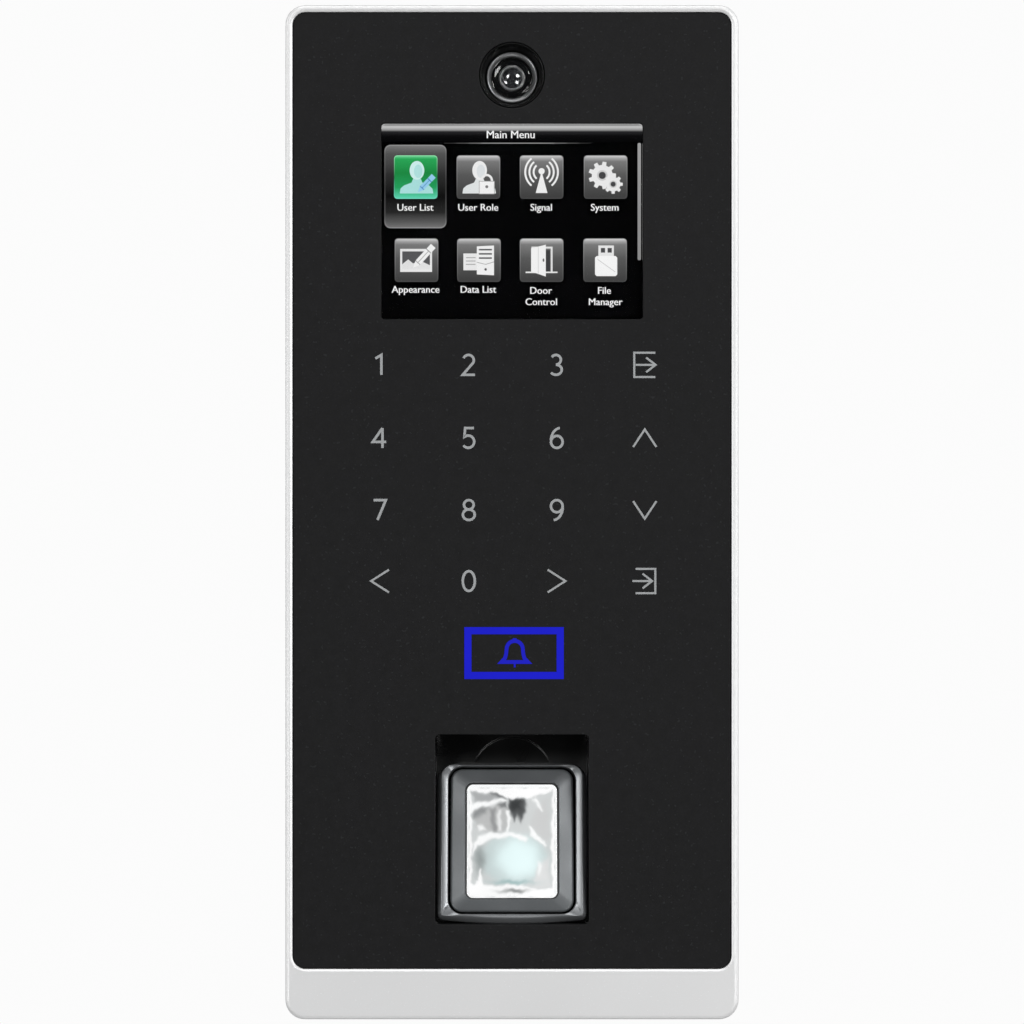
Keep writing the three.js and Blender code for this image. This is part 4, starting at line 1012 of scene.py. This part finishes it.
def module_outline(grow, steps=9, along=11):
    """The sensor body's outline, with as many points as the bezel's."""
    width, height, radius = MODULE_WIDE + 2 * grow, MODULE_HIGH + 2 * grow, max(2.2 + grow, 0.3)
    corners = rounded(width, height, radius, 0, MODULE_Z, steps)
    cut = 3 * (steps + 1)
    start, end = corners[cut - 1], corners[cut]
    edge = [(start[0] + (end[0] - start[0]) * k / along, start[1]) for k in range(1, along)]
    return corners[:cut] + edge + corners[cut:]


def level(outline, y):
    return [(x, y, z) for x, z in outline]


def sensor_bezel():
    """A bar around the sensor: it dips gently inwards from its crest and falls away outwards, most at the
    foot."""
    rings = [bezel_ring(0.0, 0.0, 2.35, 0.0), bezel_ring(0.0, 0.0, 0.7, 0.66)]
    rings += [bezel_ring(side, side / 0.85, depth, 0.7 * (1 - side / 0.85)) for side,
              depth in ((0.03, 0.55), (0.1, 0.4), (0.22, 0.22), (0.38, 0.02), (0.54, -0.17),
                        (0.69, -0.31), (0.85, -0.4))]
    rings += [level(module_outline(grow), depth) for grow, depth in
              ((0.6, -0.2), (0.53, -0.13), (0.47, 0.0), (0.43, 0.2), (0.42, 2.35))]
    bar = tilt(divide(loft(rings)))
    finish_piece("sensor_frame_bar", bar, "bezel_satin", cad=("sensor_bezel",), angle=50)


def window(grow):
    """The outline of the sensor's glass, drawn larger by grow."""
    return rounded(GLASS_WIDE + 2 * grow, GLASS_HIGH + 2 * grow, 1.15 + grow, 0, GLASS_Z)


def sensor_body():
    """The grey frame around the glass, which slopes away from it on all four sides."""
    outer = lambda grow: rounded(MODULE_WIDE + 2 * grow, MODULE_HIGH + 2 * grow, 2.2 + grow, 0, MODULE_Z)
    back = 13.9
    rings = [level(outer(0), back), level(outer(0), 0.6)]
    rings += [level(outer(-inset), 0.14 + depth) for inset, depth in fillet(0.0, 0.0, 0.45, 4)]
    rings += [level(window(0.5), -0.3), level(window(0.38), -0.28), level(window(0.3), -0.2),
              level(window(0.27), 0.0)]
    rings += [level(window(0.27), 9.0), level(outer(-2.6), 9.4), level(outer(-2.6), back)]
    finish_piece("sensor_body", tilt(loft(rings)), "sensor_satin", cad=("sensor_housing",),
                 angle=24)
    rings = [level(window(0.26), 0.3), level(window(0.04), 0.22), level(window(0.04), 3.4),
             level(window(0.26), 3.4)]
    finish_piece("sensor_gasket", tilt(loft(rings)), "rubber")


def sensor_optics():
    """The glass, and behind it a glowing white chamber and rim that carry painted light and shade: the
    prism's lit inside, its highlights, reflections and shaded facets.
    """
    pane = plate(window(0.0), [], 0.1, 0.8, 0.12)
    finish_piece("sensor_glass", tilt(pane), "platen_glass", cad=("sensor_prism",))
    # a rim that glows evenly near-white all round: painted light, the bright edge of the lit glass
    rings = [level(window(-0.03), 0.9), level(window(-0.22), 1.2), level(window(-0.3), 1.9),
             level(window(-0.3), 3.2), level(window(-0.03), 3.2)]
    mesh = tilt(loft(rings))
    paint(mesh, [linear((250, 252, 252))] * len(mesh.loops))
    finish_piece("light_rim", mesh, "sensor_light")
    light_chamber()


# what the chamber shows, painted back to front as glowing colour: painted light and shade, the prism's
# highlights, reflections and shaded facets. Each entry is colour, softness, and corners or (centre, half
# size), all in hundredths of the glass from its top left corner
CHAMBER_BASE = (209, 212, 212)
CHAMBER_LIGHT_AND_SHADE = (((172, 174, 175), 1.2, [(3, 4), (13, 5.5), (27, 5), (42, 9), (37, 11.5), (8, 16)]),
                ((118, 120, 121), 1.0, [(25, 5.2), (34, 6), (42, 9.5), (36, 9.8)]),
                ((190, 191, 191), 1.5, [(5, 20.5), (34, 16), (46, 19.5), (46, 40), (20, 41), (8, 35)]),
                ((142, 144, 145), 1.8, [(5, 21), (22, 18), (18, 24), (6, 28)]),
                ((150, 151, 152), 1.5, [(24, 19), (30, 19), (33, 40), (28, 40)]),
                ((234, 235, 235), 1.2, [(34, 21), (38, 21), (37, 39), (33, 39)]),
                ((122, 124, 125), 1.2, [(33, 16.5), (42, 12.5), (44, 18), (38, 19)]),
                ((206, 207, 207), 1.6, [(78, 20), (90, 10), (93, 44), (88, 50), (70, 36)]),
                ((252, 253, 253), 1.0, [(2, 15), (40, 10), (43, 12), (8, 20), (3, 24)]),
                ((84, 86, 87), 1.4, [(46, 10.5), (52, 11.5), (66, 10.5), (64.5, 23), (61, 31), (55, 25),
                                     (52, 30), (47, 19)]), ((58, 60, 61), 2.0,
                                                            [(48, 12), (61, 12), (59, 20), (50, 20)]),
                ((250, 251, 251), 0.8, [(44, 21), (47.5, 21), (47, 41), (44, 41)]),
                ((250, 251, 251), 1.2, [(10, 34), (17, 34.5), (20, 39), (13, 38.5)]),
                ((250, 251, 251), 1.0, [(73, 11), (77, 10), (86.5, 21.5), (85, 22.5)]),
                ((200, 213, 213), 2.0, ((52.5, 65), (40, 22))),
                ((150, 157, 157), 3.2, ((13, 66), (5, 11))),
                ((233, 252, 252), 5.0, ((57, 64.5), (25, 18))),
                ((253, 254, 254), 1.0, [(5, 52), (12, 43.5), (25, 41.5), (46, 41), (60, 42.5), (69, 46.5),
                                        (67, 49), (46, 45), (25, 47.5), (10, 53.5), (5, 62)]),
                ((252, 253, 253), 1.0, [(69, 36), (73, 37), (90, 52), (88, 53), (72, 45)]),
                ((222, 223, 223), 1.6, [(78, 74), (92, 62), (93, 90), (76, 90)]),
                ((246, 248, 248), 1.4, [(80, 68), (84, 72), (82, 79), (79, 76)]),
                ((156, 186, 186), 1.2, ((50, 86.2), (16, 1.3))),
                ((254, 254, 254), 0.9, [(0, 87), (20, 89.4), (60, 88.4), (70, 91.5), (100, 92.5),
                                        (100, 100), (0, 100)]),
                ((254, 254, 254), 0.8, [(6, 92), (9, 84), (11.5, 84), (13.5, 74.5), (15, 75),
                                        (16.5, 92)]), ((196, 198, 198), 0.9, ((42, 94.4), (8, 1.1))),
                ((138, 140, 140), 0.9, ((55, 93.8), (10, 1.5))),
                ((254, 254, 254), 0.8, [(0, 0), (100, 0), (95, 3.5), (85, 6), (72, 9.5), (62, 9.2),
                                        (52, 11), (46, 9.5), (40, 7.5), (27, 4.2), (13, 4.8), (3, 3)]),
                ((254, 254, 254), 0.8, [(0, 0), (2.5, 0), (4.0, 50), (3.5, 100), (0, 100)]),
                ((254, 254, 254), 0.8, [(100, 0), (97, 0), (95, 50), (96.5, 100), (100, 100)]))


def outside(u, v, shape):
    """How far a point lies outside a polygon, or an ellipse given as (centre, half size); negative
    inside."""
    if len(shape) == 2:
        (centre_u, centre_v), (half_u, half_v) = shape
        return (math.hypot((u - centre_u) / half_u, (v - centre_v) / half_v) - 1) * min(half_u, half_v)
    nearest, inside = 1e9, False
    for (u0, v0), (u1, v1) in zip(shape, shape[1:] + shape[:1]):
        du, dv = u1 - u0, v1 - v0
        share = max(0.0, min(1.0, ((u - u0) * du + (v - v0) * dv) / (du * du + dv * dv)))
        nearest = min(nearest, math.hypot(u - u0 - share * du, v - v0 - share * dv))
        if (v0 > v) != (v1 > v) and u < u0 + du * (v - v0) / dv:
            inside = not inside
    return -nearest if inside else nearest


# the chamber's colour at a point: the painted highlights, reflections and shade of the table, blended softly
def chamber_tone(u, v):
    colour = CHAMBER_BASE
    wander = 0.8 * math.sin(0.31 * v + 0.17 * u) + 0.35 * math.sin(0.83 * v - 0.4 * u)
    drift = 0.7 * math.sin(0.27 * u - 0.12 * v) + 0.3 * math.sin(0.74 * u + 0.5 * v)
    for hue, soft, shape in CHAMBER_LIGHT_AND_SHADE:
        away = outside(u + wander, v + drift, shape) / (1.7 * soft)
        if away < 5:
            share = 1 / (1 + math.exp(3 * away)) if away > -5 else 1.0
            colour = tuple(a + (b - a) * share for a, b in zip(colour, hue))
    return colour


def light_chamber():
    """The chamber's back, a thin glowing sheet painted with the prism's light and shade; it swells where the
    painted oval of the lamp's light lies.
    """
    across, down = 110, 140
    wide, high = GLASS_WIDE - 0.55, GLASS_HIGH - 0.55
    points, tones, faces = [], [], []
    for row in range(down + 1):
        for column in range(across + 1):
            u, v = column / across, row / down
            swell = max(0.0, 1 - ((u - 0.53) / 0.38) ** 2 - ((v - 0.65) / 0.22) ** 2)
            points.append((wide * (u - 0.5), 1.95 - 0.4 * swell, GLASS_Z + high * (0.5 - v)))
            tones.append(linear(chamber_tone(100 * u, 100 * v)))
    layer = len(points)
    points += [(x, 2.6, z) for x, y, z in points]
    width = across + 1
    for row in range(down):
        for column in range(across):
            a = row * width + column
            quad = (a, a + 1, a + width + 1, a + width)
            faces += [quad, tuple(layer + k for k in reversed(quad))]
    edge = [*range(width), *range(2 * width - 1, layer, width), *range(layer - 2, layer - width - 1, -1),
            *range(layer - 2 * width, 0, -width)]
    for here, there in zip(edge, edge[1:] + edge[:1]):
        faces.append((here, layer + here, layer + there, there))
    mesh = mesh_of(points, faces)
    paint(mesh, [tones[loop.vertex_index % layer] for loop in mesh.loops])
    finish_piece("light_chamber", tilt(mesh), "sensor_light", angle=80)


def sensor_tub():
    """The black recess: a straight-walled mouth, a sloping floor and the round scoop that leads the
    fingertip in."""
    refine("sensor_surround", "recess_black", edge=0.75, angle=40)


sensor_tub()
sensor_bezel()
sensor_body()
sensor_optics()

# ---------------------------------------------------------------- back, underside and what shows
# through openings
for node, look, edge in (
    ("rear_cover", "case_black", 0.25),
    ("wall_plate", "zinc_steel", 0.18),
    ("security_screw", "screw_steel", 0.12),
    ("screw_insert", "brass", 0.1),
    ("usb_cover", "rubber", 0.25),
    ("usb_socket", "screw_steel", 0.06),
    ("reset_button", "connector_white", 0.12),
    ("tamper_plunger", "connector_white", 0.12),
    ("sensor_seal", "rubber", 0.0),
    ("case_seal", "rubber", 0.0),
    ("main_board", "circuit_board", 0.05),
    ("header_power", "connector_white", 0.1),
    ("header_lock", "connector_white", 0.1),
    ("header_reader", "connector_white", 0.1),
    ("header_network", "connector_white", 0.1),
    ("speaker", "case_black", 0.15),
    *((f"case_screw_{k}", "screw_steel", 0.1) for k in (1, 2, 3, 4)),
):
    refine(node, look, edge)

# the CAD nodes that stay as they are, inside the case
KEPT = {"zinc_steel": ("lcd_backlight_tray", "processor_shield", "coin_cell", "tamper_spring",
                       "board_screw_1", "board_screw_2", "board_screw_3", "board_screw_4",
                       "sensor_screw_left", "sensor_screw_right"), "display_glass": ("lcd_panel",),
        "circuit_board": ("camera_board", "keypad_board", "sensor_light_board", "sensor_board",
                          "io_board"), "connector_white": ("bell_led_left", "bell_led_right",
                                                           "coin_cell_holder"),
        "copper_wire": ("card_antenna_coil",), "case_black": ("sensor_imager", "door_relay",
                                                              "reset_switch", "tamper_switch"),
        "flex_amber": ("lcd_ribbon", "camera_ribbon", "keypad_ribbon", "sensor_ribbon"),
        "guide_blue": ("bell_light_guide",)}
for look, nodes in KEPT.items():
    for node in nodes:
        materials = frame["nodes"][node].data.materials
        materials.clear()
        materials.append(LOOK[look])


# ---------------------------------------------------------------- stage, light and camera
def stage_floor():
    """A plain pale floor, well below the terminal, which hangs on its wall plate."""
    mesh = bpy.data.meshes.new("floor")
    made = bmesh.new()
    bmesh.ops.create_circle(made, cap_ends=True, radius=1.6, segments=96)
    made.to_mesh(mesh)
    made.free()
    floor = bpy.data.objects.new("floor", mesh)
    floor.location = (0, 0, -1.25)
    bpy.context.scene.collection.objects.link(floor)
    mesh.materials.append(surface("floor_paint", (236, 236, 235), 0.6, grain=4, depth=0.01, mottle=0.01,
                                  patch=90))


AIM = Vector((0, -0.03, 0))  # what the lights face


def softbox(name, azimuth, elevation, distance, width, height, power, roll=0):
    """A rectangular light. Azimuth 0 is straight in front of the terminal, and 90 to its right."""
    lamp = bpy.data.lights.new(name, "AREA")
    lamp.shape, lamp.size, lamp.size_y, lamp.energy = "RECTANGLE", width, height, power
    holder = bpy.data.objects.new(name, lamp)
    a, e = math.radians(azimuth), math.radians(elevation)
    away = Vector((math.sin(a) * math.cos(e), -math.cos(a) * math.cos(e), math.sin(e)))
    holder.location = AIM + away * distance
    holder.rotation_mode = "QUATERNION"
    holder.rotation_quaternion = away.to_track_quat("Z", "Y") @ Quaternion((0, 0, 1), math.radians(roll))
    bpy.context.scene.collection.objects.link(holder)


def studio():
    stage_floor()
    softbox("upper_left", -22.5, 20.5, 1.1, 0.15, 0.3, 1.9, roll=-25)
    softbox("upper_right", 31, 23, 1.1, 0.28, 0.28, 3.85)
    softbox("lower_left", -36, -12, 1.1, 0.28, 0.28, 2.15)
    softbox("lower_right", 27, -11, 1.1, 0.28, 0.28, 2.3)
    softbox("overhead", 0, 72, 1.0, 0.9, 0.5, 5.4)
    softbox("side_left", -80, 5, 1.0, 0.3, 0.9, 4.6)
    softbox("side_right", 78, 8, 1.0, 0.3, 0.9, 5.8)
    softbox("behind", 180, 12, 1.2, 0.9, 0.9, 8)
    softbox("below", 10, -62, 1.1, 0.6, 0.4, 0.9)
    world = bpy.data.worlds.new("studio")
    bpy.context.scene.world = world
    world.use_nodes = True
    tree = world.node_tree
    tree.nodes.clear()
    output = tree.nodes.new("ShaderNodeOutputWorld")
    seen = tree.nodes.new("ShaderNodeBackground")
    seen.inputs["Color"].default_value = (0.97, 0.97, 0.97, 1)
    seen.inputs["Strength"].default_value = 1.0
    fill = tree.nodes.new("ShaderNodeBackground")
    fill.inputs["Color"].default_value = (0.9, 0.95, 1.0, 1)
    fill.inputs["Strength"].default_value = 0.06
    choose = tree.nodes.new("ShaderNodeMixShader")
    path = tree.nodes.new("ShaderNodeLightPath")
    tree.links.new(path.outputs["Is Camera Ray"], choose.inputs[0])
    tree.links.new(fill.outputs[0], choose.inputs[1])
    tree.links.new(seen.outputs[0], choose.inputs[2])
    tree.links.new(choose.outputs[0], output.inputs["Surface"])
    bpy.context.scene.view_settings.view_transform = "Standard"


CAMERA_DISTANCE = 0.65  # from the terminal's front
SENSOR_WIDTH = 36
VIEW_HEIGHT = 0.18963  # what the picture takes in at the terminal's front


def eye():
    data = bpy.data.cameras.new("eye")
    data.sensor_width = SENSOR_WIDTH
    data.lens = SENSOR_WIDTH * CAMERA_DISTANCE / VIEW_HEIGHT
    data.clip_start, data.clip_end = 0.05, 20
    holder = bpy.data.objects.new("eye", data)
    holder.location = (0, CASE_LOW.y * MM - CAMERA_DISTANCE, 0.00004)
    holder.rotation_euler = (math.radians(90), 0, 0)
    bpy.context.scene.collection.objects.link(holder)
    bpy.context.scene.camera = holder


studio()
eye()
